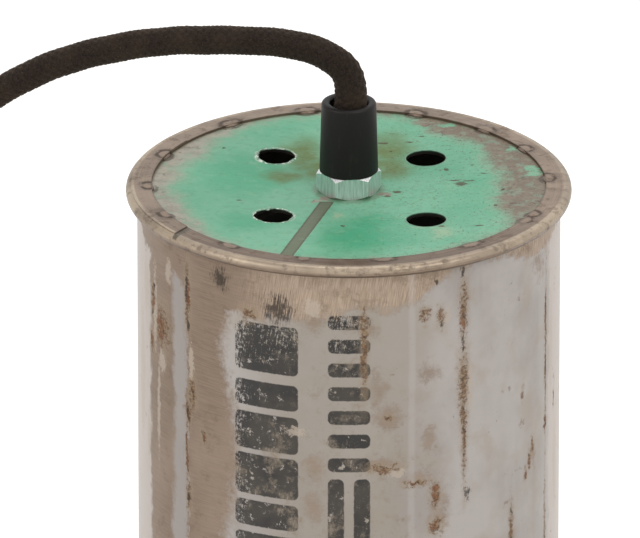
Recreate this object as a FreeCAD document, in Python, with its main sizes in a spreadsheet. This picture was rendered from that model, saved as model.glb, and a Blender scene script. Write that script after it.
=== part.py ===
"""A pendant lamp whose shade is a re-used steel canister, hung upside down.

The closed end of the canister is up: a disc, held by a rolled ring that is tacked to it, with four vent
holes and a cord grip. The lampholder and bulb hang inside from the grip's threaded nipple. The flex ends
in a ceiling rose, which stands in the coiled flex. Millimetres, +Z up, +Y to the back, the origin at the
centre of the open end that the canister stands on.
"""
import FreeCAD, Part
import math
import os
import Sketcher
from types import SimpleNamespace

Vector = FreeCAD.Vector
UP = Vector(0, 0, 1)
NONE = 1e-9

SIZES = {
    # canister
    "canister_height": 250, "rim_diameter": 110, "ring_overhang": 2.75, "wall": 0.8, "hem_height": 6,
    "ring_sheet": 0.5, "ring_width": 6.3, "rim_roll": 3, "ring_lip_gap": 0.4, "seam_play": 0.1,
    "neck_rounding": 0.35, "tack_length": 5.4, "tack_width": 3.4, "tack_inset": 1, "tack_rise": 0.06,
    "lap_rise": 0.25, "lap_width": 5, "disc_sheet": 1, "disc_dish": 1.2, "disc_flat": 24, "disc_play": 0.2,
    "vent_diameter": 10, "vent_circle": 54.4, "nipple_hole": 10.4,
    # thread and grip
    "thread": 10, "thread_play": 0.05, "nipple_bore": 8, "nut_flats": 14, "nut_height": 5.5,
    "nut_chamfer": 0.9, "grip_foot": 14.5, "grip_top": 13.5, "grip_height": 18, "grip_thread_depth": 9,
    "grip_mouth": 9.4, "lip_round": 0.8, "grip_screw": 3, "screw_level": 13, "nipple_reach": 8,
    "washer_sheet": 0.8, "washer_diameter": 18, "tooth_depth": 1.6, "tooth_gap": 1.8,
    "tag_sheet": 0.8, "tag_diameter": 16, "tag_tongue": 10, "tag_tab": 6.8, "tag_tab_width": 5,
    "inner_nut_height": 2.5, "nipple_overrun": 0.5, "sheath_overrun": 1.5,
    # lampholder
    "holder_diameter": 39, "holder_wall": 2, "neck_height": 7, "neck_diameter": 15, "cap_length": 36,
    "cap_side": 16, "cap_shoulder": 24, "dome_round": 13, "skirt_length": 34, "skirt_spigot": 6,
    "skirt_wall": 1.8, "mouth_diameter": 29.2, "mouth_lip": 3, "skirt_chamfer": 1.5,
    "insert_depth": 8, "insert_flange": 6, "insert_play": 0.1, "recess_depth": 5,
    "shell_diameter": 28.4, "shell_sheet": 0.4, "shell_length": 24, "shell_opening": 20,
    "contact_sheet": 0.5, "contact_width": 6, "contact_length": 11, "contact_tip": 5, "contact_slope": 3,
    "contact_drop": 2.3, "contact_gap": 0.3,
    "terminal_length": 7, "terminal_width": 6, "terminal_height": 6, "terminal_place": 9,
    "terminal_screw": 2.5, "core_diameter": 2.2,
    # bulb
    "bulb_diameter": 60, "bulb_length": 105, "glass_wall": 0.8, "bulb_neck": 28, "bulb_neck_length": 5,
    "collar_height": 8, "bulb_cap_diameter": 26.4, "bulb_cap_wall": 0.3, "bulb_cap_length": 24,
    "insulator_diameter": 17, "insulator_height": 4, "bulb_tip_diameter": 9.5, "bulb_tip_height": 1,
    "stem_rod": 3.2, "stem_disc": 11, "stem_sheet": 1, "stem_flare": 10, "filament_drop": 37,
    "filament_length": 27, "filament_diameter": 1.8, "filament_circle": 8.4,
    # flex, its coil and its tie
    "flex_diameter": 7, "flex_hold": 3.1, "coil_diameter": 84, "coil_width": 14, "coil_height": 14,
    "tie_sheet": 1.2, "tie_width": 7, "tie_play": 0.2,
    # ceiling rose
    "rose_diameter": 64, "rose_height": 30, "rose_sheet": 1, "rose_shoulder": 10, "bracket_width": 16,
    "bracket_sheet": 1.5, "bracket_play": 0.3, "bracket_tab": 12, "ceiling_hole": 4.5,
    "ceiling_spacing": 44, "rose_screw": 4, "rose_screw_head": 7, "rose_screw_level": 7,
    "block_length": 26, "block_width": 17, "block_height": 12,
}
COIL_CENTRE = (-40, 104)
COIL_ENTRY = 170  # degrees, where the flex runs into the coil
COIL_TURNS = 3.4
TACKS = (4.5, 27.7, 46.4, 70, 102, 126.6, 157.7, 182.4, 204.4, 233.8, 257.2, 279.6, 307.2, 331.3, 336.4)
LAP = (150, 218)  # degrees, where the ring's strip ends lie on each other
LAP_SLANT = 18  # degrees by which the upper end is cut off square
VENTS = ((45.3, 1), (131.3, 1.01), (224.2, 0.95), (312.5, 1.03))  # degrees, share of the vent circle
TEETH = 12

doc = FreeCAD.newDocument("pendant_lamp")
sheet = doc.addObject("Spreadsheet::Sheet", "sizes")
nodes = {}


class Size:
    """A number from the sheet or worked out from it: its value, and the expression that binds to it."""

    def __init__(self, value, text):
        self.value = value
        self.text = text

    def __add__(self, other):
        return Size(self.value + number(other), f"({self.text} + {text(other)})")

    def __sub__(self, other):
        return Size(self.value - number(other), f"({self.text} - {text(other)})")

    def __mul__(self, other):
        return Size(self.value * number(other), f"({self.text} * {text(other)})")

    def __truediv__(self, other):
        return Size(self.value / number(other), f"({self.text} / {text(other)})")

    def __neg__(self):
        return Size(-self.value, f"(0 - {self.text})")

    def __rsub__(self, other):
        return -self + other

    __radd__ = __add__
    __rmul__ = __mul__


def number(size):
    return size.value if isinstance(size, Size) else size


def text(size):
    return size.text if isinstance(size, Size) else f"{size:.9g}"


def root(size):
    return Size(math.sqrt(size.value), f"sqrt({size.text})")


def fill_sheet():
    """Writes the sizes to the sheet, and returns them by name."""
    for row, (name, value) in enumerate(SIZES.items(), 1):
        sheet.set(f"A{row}", name)
        sheet.set(f"B{row}", str(value))
        sheet.setAlias(f"B{row}", name)
    doc.recompute()
    return SimpleNamespace(**{name: Size(value, f"sizes.{name}") for name, value in SIZES.items()})


def bind(thing, **properties):
    """Sets each property, bound to the sheet where it is a Size."""
    for name, size in properties.items():
        setattr(thing, name, number(size))
        if isinstance(size, Size):
            thing.setExpression(name, size.text)


def put(thing, x=0, y=0, z=0, turn=None):
    """Places a thing, with its place bound to the sheet. turn is (axis, degrees)."""
    rotation = FreeCAD.Rotation(*turn) if turn else FreeCAD.Rotation()
    thing.Placement = FreeCAD.Placement(Vector(number(x), number(y), number(z)), rotation)
    for axis, size in zip("xyz", (x, y, z)):
        if isinstance(size, Size):
            thing.setExpression(f"Placement.Base.{axis}", size.text)
    return thing


def keep(thing, label):
    """Names a finished sub-part, which makes it a node."""
    thing.Label = label
    nodes[label] = thing
    return thing


# Sketches and bodies


def plane(body, role):
    return next(f for f in body.Origin.OriginFeatures if f.Role == role)


def arc_between(start, end, radius):
    """The short arc between two points, with its centre on the left of the way if radius is positive."""
    half = (end - start) * 0.5
    rise = math.sqrt(max(radius * radius - half.Length ** 2, 0))
    left = Vector(-half.y, half.x, 0).normalize() * math.copysign(rise, radius)
    centre = start + half + left
    first, last = (start, end) if radius > 0 else (end, start)
    angles = [math.atan2(p.y - centre.y, p.x - centre.x) for p in (first, last)]
    return Part.ArcOfCircle(Part.Circle(centre, UP, abs(radius)), *angles)


def outline(body, role, corners):
    """A closed sketch whose corners are all bound. A corner is (across, up), or (across, up, radius)
    where the side that starts there is an arc, with its centre on the left if the radius is positive."""
    sketch = body.newObject("Sketcher::SketchObject", "outline")
    sketch.AttachmentSupport = (plane(body, role), [""])
    sketch.MapMode = "FlatFace"
    ends = []
    points = [Vector(number(c[0]), number(c[1]), 0) for c in corners]
    for i, corner in enumerate(corners):
        start, end = points[i], points[(i + 1) % len(points)]
        radius = number(corner[2]) if len(corner) == 3 else 0
        side = arc_between(start, end, radius) if radius else Part.LineSegment(start, end)
        sketch.addGeometry(side)
        ends.append((2, 1) if radius < 0 else (1, 2))
    for i, corner in enumerate(corners):
        after = (i + 1) % len(corners)
        sketch.addConstraint(Sketcher.Constraint("Coincident", i, ends[i][1], after, ends[after][0]))
        for kind, axis, size in (("DistanceX", -2, corner[0]), ("DistanceY", -1, corner[1])):
            if abs(number(size)) < NONE:
                sketch.addConstraint(Sketcher.Constraint("PointOnObject", i, ends[i][0], axis))
            else:
                fixed(sketch, Sketcher.Constraint(kind, -1, 1, i, ends[i][0], number(size)), size)
        if len(corner) == 3:
            radius = corner[2] if number(corner[2]) > 0 else -corner[2]
            fixed(sketch, Sketcher.Constraint("Radius", i, number(radius)), radius)
    return sketch


def fixed(sketch, constraint, size):
    index = sketch.addConstraint(constraint)
    if isinstance(size, Size):
        sketch.setExpression(f"Constraints[{index}]", size.text)


def revolved(label, corners, **place):
    """A body turned about its own +Z from an outline of (radius, height) corners."""
    body = doc.addObject("PartDesign::Body", label)
    profile = outline(body, "XZ_Plane", corners)
    turn = body.newObject("PartDesign::Revolution", "turned")
    turn.Profile = profile
    turn.ReferenceAxis = (profile, ["V_Axis"])
    turn.Angle = 360
    return put(body, **place)


def padded(label, corners, thickness, role="XY_Plane", **place):
    """A body raised from an outline."""
    body = doc.addObject("PartDesign::Body", label)
    pad = body.newObject("PartDesign::Pad", "raised")
    pad.Profile = outline(body, role, corners)
    bind(pad, Length=thickness)
    if role == "XZ_Plane":
        pad.Midplane = True
    return put(body, **place)


def round_edges(body, radius, spots, kind="Fillet"):
    """Rounds or chamfers a body's circular edges that lie at the (radius, height) spots."""
    doc.recompute()
    base = body.Tip
    names = []
    for index, edge in enumerate(base.Shape.Edges, 1):
        if isinstance(edge.Curve, Part.Circle):
            at = (edge.Curve.Radius, edge.Curve.Center.z)
            if any(math.dist(at, (number(r), number(z))) < 0.01 for r, z in spots):
                names.append(f"Edge{index}")
    feature = body.newObject(f"PartDesign::{kind}", kind.lower())
    feature.Base = (base, names)
    bind(feature, **{"Radius" if kind == "Fillet" else "Size": radius})
    return body


# Primitives and booleans


def drum(radius, height, **place):
    thing = doc.addObject("Part::Cylinder", "drum")
    bind(thing, Radius=radius, Height=height)
    return put(thing, **place)


def block(length, width, height, **place):
    thing = doc.addObject("Part::Box", "block")
    bind(thing, Length=length, Width=width, Height=height)
    return put(thing, **place)


def without(base, *tools):
    cut = doc.addObject("Part::Cut", "cut")
    cut.Base = base
    cut.Tool = tools[0] if len(tools) == 1 else joined(*tools)
    return cut


def pipe(bore, radius, height, **place):
    return without(drum(radius, height, **place), drum(bore, height, **place))


def joined(*things):
    fuse = doc.addObject("Part::MultiFuse", "fuse")
    fuse.Shapes = list(things)
    return fuse


def grouped(*things):
    group = doc.addObject("Part::Compound", "group")
    group.Links = list(things)
    return group


def common(first, second):
    both = doc.addObject("Part::MultiCommon", "common")
    both.Shapes = [first, second]
    return both


# Flexes


def on_circle(radius, degrees, level=0, centre=(0, 0)):
    angle = math.radians(degrees)
    return Vector(centre[0] + radius * math.cos(angle), centre[1] + radius * math.sin(angle), level)


def route(points, share=0.45):
    """Straight runs joined by tangent arcs, each as large as its two runs allow. Also gives the radii."""
    edges, radii, here = [], [], points[0]
    for before, corner, after in zip(points, points[1:], points[2:]):
        back, ahead = before - corner, after - corner
        reach = share * min(back.Length, ahead.Length)
        half = (math.pi - back.getAngle(ahead)) / 2
        radii.append(reach / math.tan(half))
        into, out = corner + back.normalize() * reach, corner + ahead.normalize() * reach
        inward = (back + ahead).normalize()
        middle = corner + inward * (radii[-1] / math.cos(half) - radii[-1])
        edges += [Part.LineSegment(here, into).toShape(), Part.Arc(into, middle, out).toShape()]
        here = out
    edges.append(Part.LineSegment(here, points[-1]).toShape())
    return Part.Wire(edges), radii


def flex(label, points, diameter, share=0.45):
    """A round flex along a route."""
    points = [Vector(*p) for p in points]
    path, radii = route(points, share)
    radius = number(diameter) / 2
    section = Part.Wire(Part.Circle(points[0], points[1] - points[0], radius).toShape())
    thing = doc.addObject("Part::Feature", label)
    thing.Shape = path.makePipeShell([section], True, False)
    ratio = thing.Shape.Volume / (math.pi * radius ** 2 * path.Length)
    tightest = min(radii) if radii else 0
    print(f"{label}: length {path.Length:.1f}, volume ratio {ratio:.4f}, tightest radius {tightest:.1f}")
    if label.startswith("cord"):
        print("   radii", [round(r, 1) for r in radii])
    if not 0.98 < ratio < 1.02:
        raise ValueError(f"{label} isn't a tube")
    keep(thing, label)
    return path.Length


# Sub-parts

s = fill_sheet()

rim = s.rim_diameter / 2
outside = rim - s.ring_overhang
inside = outside - s.wall
ring_inside = rim - s.ring_width
ring_under = s.canister_height - s.ring_sheet
flange_under = ring_under - s.wall
disc_under = ring_under - s.disc_sheet - s.disc_dish
nut_foot = disc_under + s.disc_sheet
nut_top = nut_foot + s.nut_height
grip_mouth_level = nut_top + s.grip_height
nipple_top = nut_top + s.nipple_reach
neck_top = disc_under - s.washer_sheet
ceiling = neck_top - s.neck_height - s.holder_wall
tag_under = ceiling - s.tag_sheet
nipple_foot = tag_under - s.inner_nut_height - s.nipple_overrun
sheath_end = nipple_foot - s.sheath_overrun
cap_foot = neck_top - s.cap_length
skirt_foot = cap_foot - s.skirt_length
insert_foot = cap_foot + s.skirt_spigot - s.insert_depth
contact_foot = insert_foot - s.contact_drop
bulb_foot = contact_foot - s.contact_gap - s.bulb_length
thread_hole = s.thread / 2 + s.thread_play
flex_radius = s.flex_diameter / 2


def canister_shell():
    """The drawn wall: hemmed at the open end, flanged outwards at the other under the ring."""
    hem = inside - s.wall
    flange = rim - s.rim_roll / 2 - s.seam_play
    shell = revolved("canister_shell", [
        (hem, 0), (outside, 0), (outside, flange_under), (flange, flange_under), (flange, ring_under),
        (inside, ring_under), (inside, s.hem_height), (hem, s.hem_height)])
    round_edges(shell, s.neck_rounding, [(outside, flange_under)])
    round_edges(shell, s.neck_rounding + s.wall, [(inside, ring_under)])
    return keep(shell, "canister_shell")


def end_ring():
    """The ring that is rolled over the flange, with its lapped ends and the tacks that hold the disc."""
    lip_under = s.canister_height - s.rim_roll
    lip_edge = outside + s.ring_lip_gap
    roll = s.rim_roll / 2
    turn, hollow, lip_top = rim - roll, roll - s.ring_sheet, lip_under + s.ring_sheet
    ring = revolved("rolled_ring", [
        (ring_inside, ring_under), (turn, ring_under, -hollow), (turn + hollow, lip_under + roll, -hollow),
        (turn, lip_top), (lip_edge, lip_top), (lip_edge, lip_under), (turn, lip_under, roll),
        (rim, lip_under + roll, roll), (turn, s.canister_height), (ring_inside, s.canister_height)])
    lap = pipe(ring_inside, ring_inside + s.lap_width, s.lap_rise, z=s.canister_height)
    end = on_circle(1, LAP[1])
    cut = on_circle(1, LAP[1] + LAP_SLANT)
    sector = drum(rim * 2, s.lap_rise, x=rim * (end.x - cut.x), y=rim * (end.y - cut.y),
                  z=s.canister_height, turn=(UP, LAP[0]))
    sector.Angle = LAP[1] + LAP_SLANT - LAP[0]
    pieces = [ring, common(lap, sector)]
    for degrees in TACKS:
        tack = doc.addObject("Part::Ellipsoid", "tack")
        bind(tack, Radius1=s.tack_rise + s.ring_sheet, Radius2=s.tack_width / 2, Radius3=s.tack_length / 2)
        tack.Angle1 = 0
        across = on_circle(1, degrees)
        tack_circle = ring_inside + s.tack_inset
        pieces.append(put(tack, tack_circle * across.x, tack_circle * across.y, ring_under, (UP, degrees)))
    return keep(joined(*pieces), "end_ring")


def end_disc():
    """The disc under the ring, with the nipple's hole and four vent holes."""
    edge, flat, hole = inside - s.disc_play, s.disc_flat / 2, s.nipple_hole / 2
    thick, dish = s.disc_sheet, s.disc_dish
    disc = revolved("end_disc", [
        (hole, 0), (flat, 0), (edge, dish), (edge, dish + thick), (flat, thick), (hole, thick)],
        z=disc_under)
    doc.recompute()
    full = disc.Shape.Volume
    vents = disc.newObject("Sketcher::SketchObject", "vents")
    vents.AttachmentSupport = (plane(disc, "XY_Plane"), [""])
    vents.MapMode = "FlatFace"
    for i, (degrees, share) in enumerate(VENTS):
        spot = on_circle(share, degrees)
        vents.addGeometry(Part.Circle(spot * number(s.vent_circle / 2), UP, number(s.vent_diameter) / 2))
        for kind, place in (("DistanceX", spot.x), ("DistanceY", spot.y)):
            place = s.vent_circle / 2 * place
            fixed(vents, Sketcher.Constraint(kind, -1, 1, i, 3, number(place)), place)
        fixed(vents, Sketcher.Constraint("Diameter", i, number(s.vent_diameter)), s.vent_diameter)
    holes = disc.newObject("PartDesign::Pocket", "vent_holes")
    holes.Profile = vents
    holes.Type = "ThroughAll"
    holes.Midplane = True
    doc.recompute()
    hole = math.pi * number(s.vent_diameter) ** 2 / 4 * number(thick)
    if abs(full - disc.Shape.Volume - len(VENTS) * hole) > 0.01 * hole:
        raise ValueError("the vent holes don't go through")
    return keep(disc, "end_disc")


def hex_nut(label, height, chamfer, **place):
    """A six-sided nut on the lamp thread, with its corners turned off."""
    prism = doc.addObject("Part::Prism", "prism")
    prism.Polygon = 6
    corner = s.nut_flats / math.sqrt(3)
    bind(prism, Circumradius=corner, Height=height)
    put(prism, **place)
    turned = revolved("turned_nut", [
        (thread_hole, 0), (s.nut_flats / 2, 0), (corner + NONE, chamfer), (corner + NONE, height - chamfer),
        (s.nut_flats / 2, height), (thread_hole, height)], **place)
    return keep(common(prism, turned), label)


def cord_grip(label, screw_label, level, **place):
    """The grip: a tapered barrel that screws on the nipple, and the grub screw that presses on the flex."""
    mouth = s.grip_mouth / 2
    foot, top = s.grip_foot / 2, s.grip_top / 2
    barrel = revolved("barrel", [
        (thread_hole, 0), (foot, 0), (top, s.grip_height), (mouth, s.grip_height),
        (mouth, s.grip_thread_depth), (thread_hole, s.grip_thread_depth)], z=level, **place)
    round_edges(barrel, s.lip_round, [(mouth, s.grip_height), (top, s.grip_height)])
    backwards = (Vector(1, 0, 0), -90)
    y = place.get("y", 0)
    bore = drum(s.grip_screw / 2, foot, x=place.get("x", 0), y=y, z=level + s.screw_level, turn=backwards)
    keep(without(barrel, bore), label)
    length = (foot + top) / 2 - flex_radius - s.contact_gap
    shank = drum(s.grip_screw / 2, length, x=place.get("x", 0), y=flex_radius + s.contact_gap / 2 + y,
                 z=level + s.screw_level, turn=backwards)
    slot = block(s.grip_screw, s.grip_screw, s.grip_screw / 5, x=-(s.grip_screw / 2) + place.get("x", 0),
                 y=flex_radius + length - s.grip_screw / 4 + y,
                 z=level + s.screw_level - s.grip_screw / 10)
    return keep(without(shank, slot), screw_label)


def threaded_nipple(label, foot, top, **place):
    """The hollow lamp thread."""
    return keep(pipe(s.nipple_bore / 2, s.thread / 2, top - foot, z=foot, **place), label)


def toothed_washer():
    """The washer that bites into the disc's underside, with teeth cut round its edge."""
    disc = pipe(thread_hole, s.washer_diameter / 2, s.washer_sheet, z=neck_top)
    gaps = []
    for i in range(TEETH):
        degrees = 360 / TEETH * i
        across = on_circle(1, degrees)
        start = s.washer_diameter / 2 - s.tooth_depth
        gap = block(s.tooth_depth * 2, s.tooth_gap, s.washer_sheet,
                    x=start * across.x + s.tooth_gap / 2 * across.y,
                    y=start * across.y - s.tooth_gap / 2 * across.x, z=neck_top, turn=(UP, degrees))
        gaps.append(gap)
    return keep(without(disc, *gaps), "toothed_washer")


def earth_tag():
    """The ring under the holder's ceiling, with a tongue to the back that is bent down for the earth core."""
    half = s.tag_tab_width / 2
    ring = drum(s.tag_diameter / 2, s.tag_sheet, z=tag_under)
    tongue = block(s.tag_tab_width, s.tag_tongue + s.tag_sheet, s.tag_sheet, x=-half, z=tag_under)
    tab = block(s.tag_tab_width, s.tag_sheet, s.tag_tab, x=-half, y=s.tag_tongue, z=ceiling - s.tag_tab)
    hole = drum(thread_hole, s.tag_sheet, z=tag_under)
    return keep(without(joined(ring, tongue, tab), hole), "earth_tag")


def holder_cap():
    """The holder's domed cap, whose neck takes the nipple."""
    side, bore = s.holder_diameter / 2, side_bore()
    shoulder = s.cap_length - s.neck_height
    flat, neck = s.cap_shoulder / 2, s.neck_diameter / 2
    return keep(revolved("holder_cap", [
        (side, 0), (side, s.cap_side, s.dome_round), (flat, shoulder), (neck, shoulder),
        (neck, s.cap_length), (thread_hole, s.cap_length), (thread_hole, shoulder - s.holder_wall),
        (flat, shoulder - s.holder_wall, s.holder_wall - s.dome_round), (bore, s.cap_side), (bore, 0)],
        z=cap_foot), "holder_cap")


def side_bore():
    return s.holder_diameter / 2 - s.holder_wall


def holder_skirt():
    """The skirt that screws into the cap and hides the bulb's thread."""
    side, mouth = s.holder_diameter / 2, s.mouth_diameter / 2
    spigot = side_bore() - s.thread_play
    bore = spigot - s.skirt_wall
    top = s.skirt_length + s.skirt_spigot
    return keep(revolved("holder_skirt", [
        (mouth, 0), (side - s.skirt_chamfer, 0), (side, s.skirt_chamfer), (side, s.skirt_length),
        (spigot, s.skirt_length), (spigot, top), (bore, top), (bore, s.mouth_lip), (mouth, s.mouth_lip)],
        z=skirt_foot), "holder_skirt")


def holder_insert():
    """The ceramic insert that sits on the skirt's spigot and carries the contacts and terminals."""
    flange = side_bore() - s.insert_play * 2
    core = flange - s.skirt_wall
    top = s.insert_depth + s.insert_flange
    body = revolved("insert_body", [
        (0, 0), (core, 0), (core, s.insert_depth), (flange, s.insert_depth), (flange, top), (0, top)],
        z=insert_foot)
    recesses = []
    for side in (-1, 1):
        recesses.append(block(
            s.terminal_length + s.insert_play * 2, s.terminal_width + s.insert_play * 2, s.recess_depth,
            x=s.terminal_place * side - s.terminal_length / 2 - s.insert_play,
            y=-(s.terminal_width / 2) - s.insert_play, z=insert_foot + top - s.recess_depth))
    return keep(without(body, *recesses), "holder_insert")


def screw_shell():
    """The thin threaded sleeve that takes the bulb's cap, turned in over the insert."""
    side = s.shell_diameter / 2
    bore, opening = side - s.shell_sheet, s.shell_opening / 2
    return keep(revolved("screw_shell", [
        (bore, 0), (side, 0), (side, s.shell_length), (opening, s.shell_length),
        (opening, s.shell_length - s.shell_sheet), (bore, s.shell_length - s.shell_sheet)],
        z=insert_foot - s.shell_length), "screw_shell")


def centre_contact():
    """The springy tongue over the bulb's tip."""
    drop, sheet_, tip = s.contact_drop, s.contact_sheet, s.contact_tip
    bend, back = tip + s.contact_slope, sheet_ / 2
    return keep(padded("centre_contact", [
        (0, 0), (tip, 0), (bend, drop - sheet_), (s.contact_length, drop - sheet_),
        (s.contact_length, drop), (bend - back, drop), (tip - back, sheet_), (0, sheet_)],
        s.contact_width, "XZ_Plane", x=-(tip / 2), z=contact_foot), "centre_contact")


def terminals():
    """The two brass terminals in the insert's recesses, and their screws."""
    foot = insert_foot + s.insert_depth + s.insert_flange - s.recess_depth
    blocks, screws = [], []
    for side in (-1, 1):
        box = block(s.terminal_length, s.terminal_width, s.terminal_height,
                    x=s.terminal_place * side - s.terminal_length / 2, y=-(s.terminal_width / 2), z=foot)
        entry = drum(s.core_diameter / 2 + s.thread_play, s.terminal_height / 2, x=core_place * side,
                     z=foot + s.terminal_height / 2)
        blocks.append(without(box, entry))
        head = drum(s.terminal_screw / 2, s.terminal_screw / 2,
                    x=(s.terminal_place + s.terminal_length / 4) * side, z=foot + s.terminal_height)
        screws.append(head)
    keep(grouped(*blocks), "terminal_blocks")
    keep(grouped(*screws), "terminal_screws")


def lamp_flex_end():
    """The sheath's end through the nipple, and the three cores from it."""
    end, foot = number(sheath_end), number(insert_foot + s.insert_depth + s.insert_flange)
    entry = foot - number(s.recess_depth) + number(s.terminal_height / 2) + 0.3
    tail = drum(flex_radius, cord_start - sheath_end, z=sheath_end)
    keep(tail, "flex_tail")
    place = number(core_place)
    for side, colour in ((-1, "brown"), (1, "blue")):
        flex(f"core_{colour}", [
            (1.6 * side, 0, end), (1.6 * side, 0, end - 3.2), (place * side, 0, foot + 4.4),
            (place * side, 0, entry)], s.core_diameter)
    tab = number(s.tag_tongue)
    flex("core_earth", [(0, 1.9, end), (0, 1.9, end - 3.4), (0, tab - 4.5, end - 3.4),
                        (0, tab - 2.4, end - 0.4), (0, tab, end - 0.4)], s.core_diameter)


def bulb():
    """A standard bulb: a globe whose shoulder runs on to the neck, cap, insulator, tip, stem, filaments."""
    radius, wall, neck = s.bulb_diameter / 2, s.glass_wall, s.bulb_neck / 2
    collar = s.bulb_cap_diameter / 2 - s.bulb_cap_wall
    tip_foot = s.bulb_length - s.bulb_tip_height
    cap_top = tip_foot - s.insulator_height
    glass_height = cap_top - s.bulb_cap_length
    straight = glass_height - s.bulb_neck_length
    rise = straight - radius
    square = neck * neck + rise * rise
    run = root(square - radius * radius)
    across = (neck * radius + run * rise) / square
    up = (rise * radius - run * neck) / square
    inner, slim = radius - wall, neck - wall
    narrow = radius + (inner - slim * across) / up
    glass_top = glass_height + s.collar_height
    keep(revolved("bulb_glass", [
        (0, 0, radius), (radius * across, radius + radius * up), (neck, straight), (neck, glass_height),
        (collar, glass_height), (collar, glass_top), (collar - wall, glass_top),
        (collar - wall, glass_height - wall), (slim, glass_height - wall), (slim, narrow),
        (inner * across, radius + inner * up, -inner), (0, wall)], z=bulb_foot), "bulb_glass")
    cap, shoulder = s.bulb_cap_diameter / 2, s.insulator_diameter / 2
    keep(revolved("bulb_cap", [
        (collar, glass_height), (cap, glass_height), (cap, cap_top), (shoulder, cap_top + wall),
        (shoulder, cap_top + wall - s.bulb_cap_wall), (collar, cap_top - s.bulb_cap_wall)],
        z=bulb_foot), "bulb_cap")
    tip = s.bulb_tip_diameter / 2
    keep(revolved("bulb_insulator", [
        (0, cap_top - s.bulb_cap_wall), (shoulder, cap_top - s.bulb_cap_wall), (shoulder, cap_top + wall),
        (tip, tip_foot), (0, tip_foot)], z=bulb_foot), "bulb_insulator")
    keep(revolved("bulb_tip", [
        (0, tip_foot), (tip, tip_foot), (tip - s.bulb_tip_height, s.bulb_length), (0, s.bulb_length)],
        z=bulb_foot), "bulb_tip")
    rod, disc, plate = s.stem_rod / 2, s.stem_disc / 2, s.stem_sheet
    foot = glass_height - s.filament_drop
    top = foot + s.filament_length
    flare = collar - wall - s.thread_play
    keep(revolved("bulb_stem", [
        (0, foot - plate), (disc, foot - plate), (disc, foot), (rod, foot), (rod, top), (disc, top),
        (disc, top + plate), (rod * 2, top + plate), (rod * 2, glass_top - s.stem_flare),
        (flare, glass_top - plate), (flare, glass_top), (0, glass_top)], z=bulb_foot), "bulb_stem")
    threads = []
    for degrees in (45, 135, 225, 315):
        spot = on_circle(1, degrees)
        threads.append(drum(s.filament_diameter / 2, s.filament_length, x=s.filament_circle / 2 * spot.x,
                            y=s.filament_circle / 2 * spot.y, z=bulb_foot + foot))
    keep(grouped(*threads), "bulb_filaments")


def cord_coil():
    """The outer shape of the coiled flex, which lies flat, and the tie round it."""
    inner = s.coil_diameter / 2 - s.coil_width / 2
    outer = inner + s.coil_width
    top = s.tie_sheet + s.coil_height
    x, y = COIL_CENTRE
    coil = revolved("cord_coil", [
        (inner, s.tie_sheet), (outer, s.tie_sheet), (outer, top), (inner, top)], x=x, y=y)
    corners = [(radius, level) for radius in (inner, outer) for level in (s.tie_sheet, top)]
    round_edges(coil, flex_radius, corners)
    keep(coil, "cord_coil")
    gap, sheet_ = s.tie_play, s.tie_sheet
    hole_width = s.coil_width + gap * 2
    tie = block(s.tie_width, hole_width + sheet_ * 2, s.coil_height + sheet_ * 2 + gap,
                x=x - s.tie_width / 2, y=inner - gap - sheet_ + y)
    hole = block(s.tie_width, hole_width, s.coil_height + gap, x=x - s.tie_width / 2,
                 y=inner - gap + y, z=sheet_)
    keep(without(tie, hole), "cord_tie")


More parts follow.
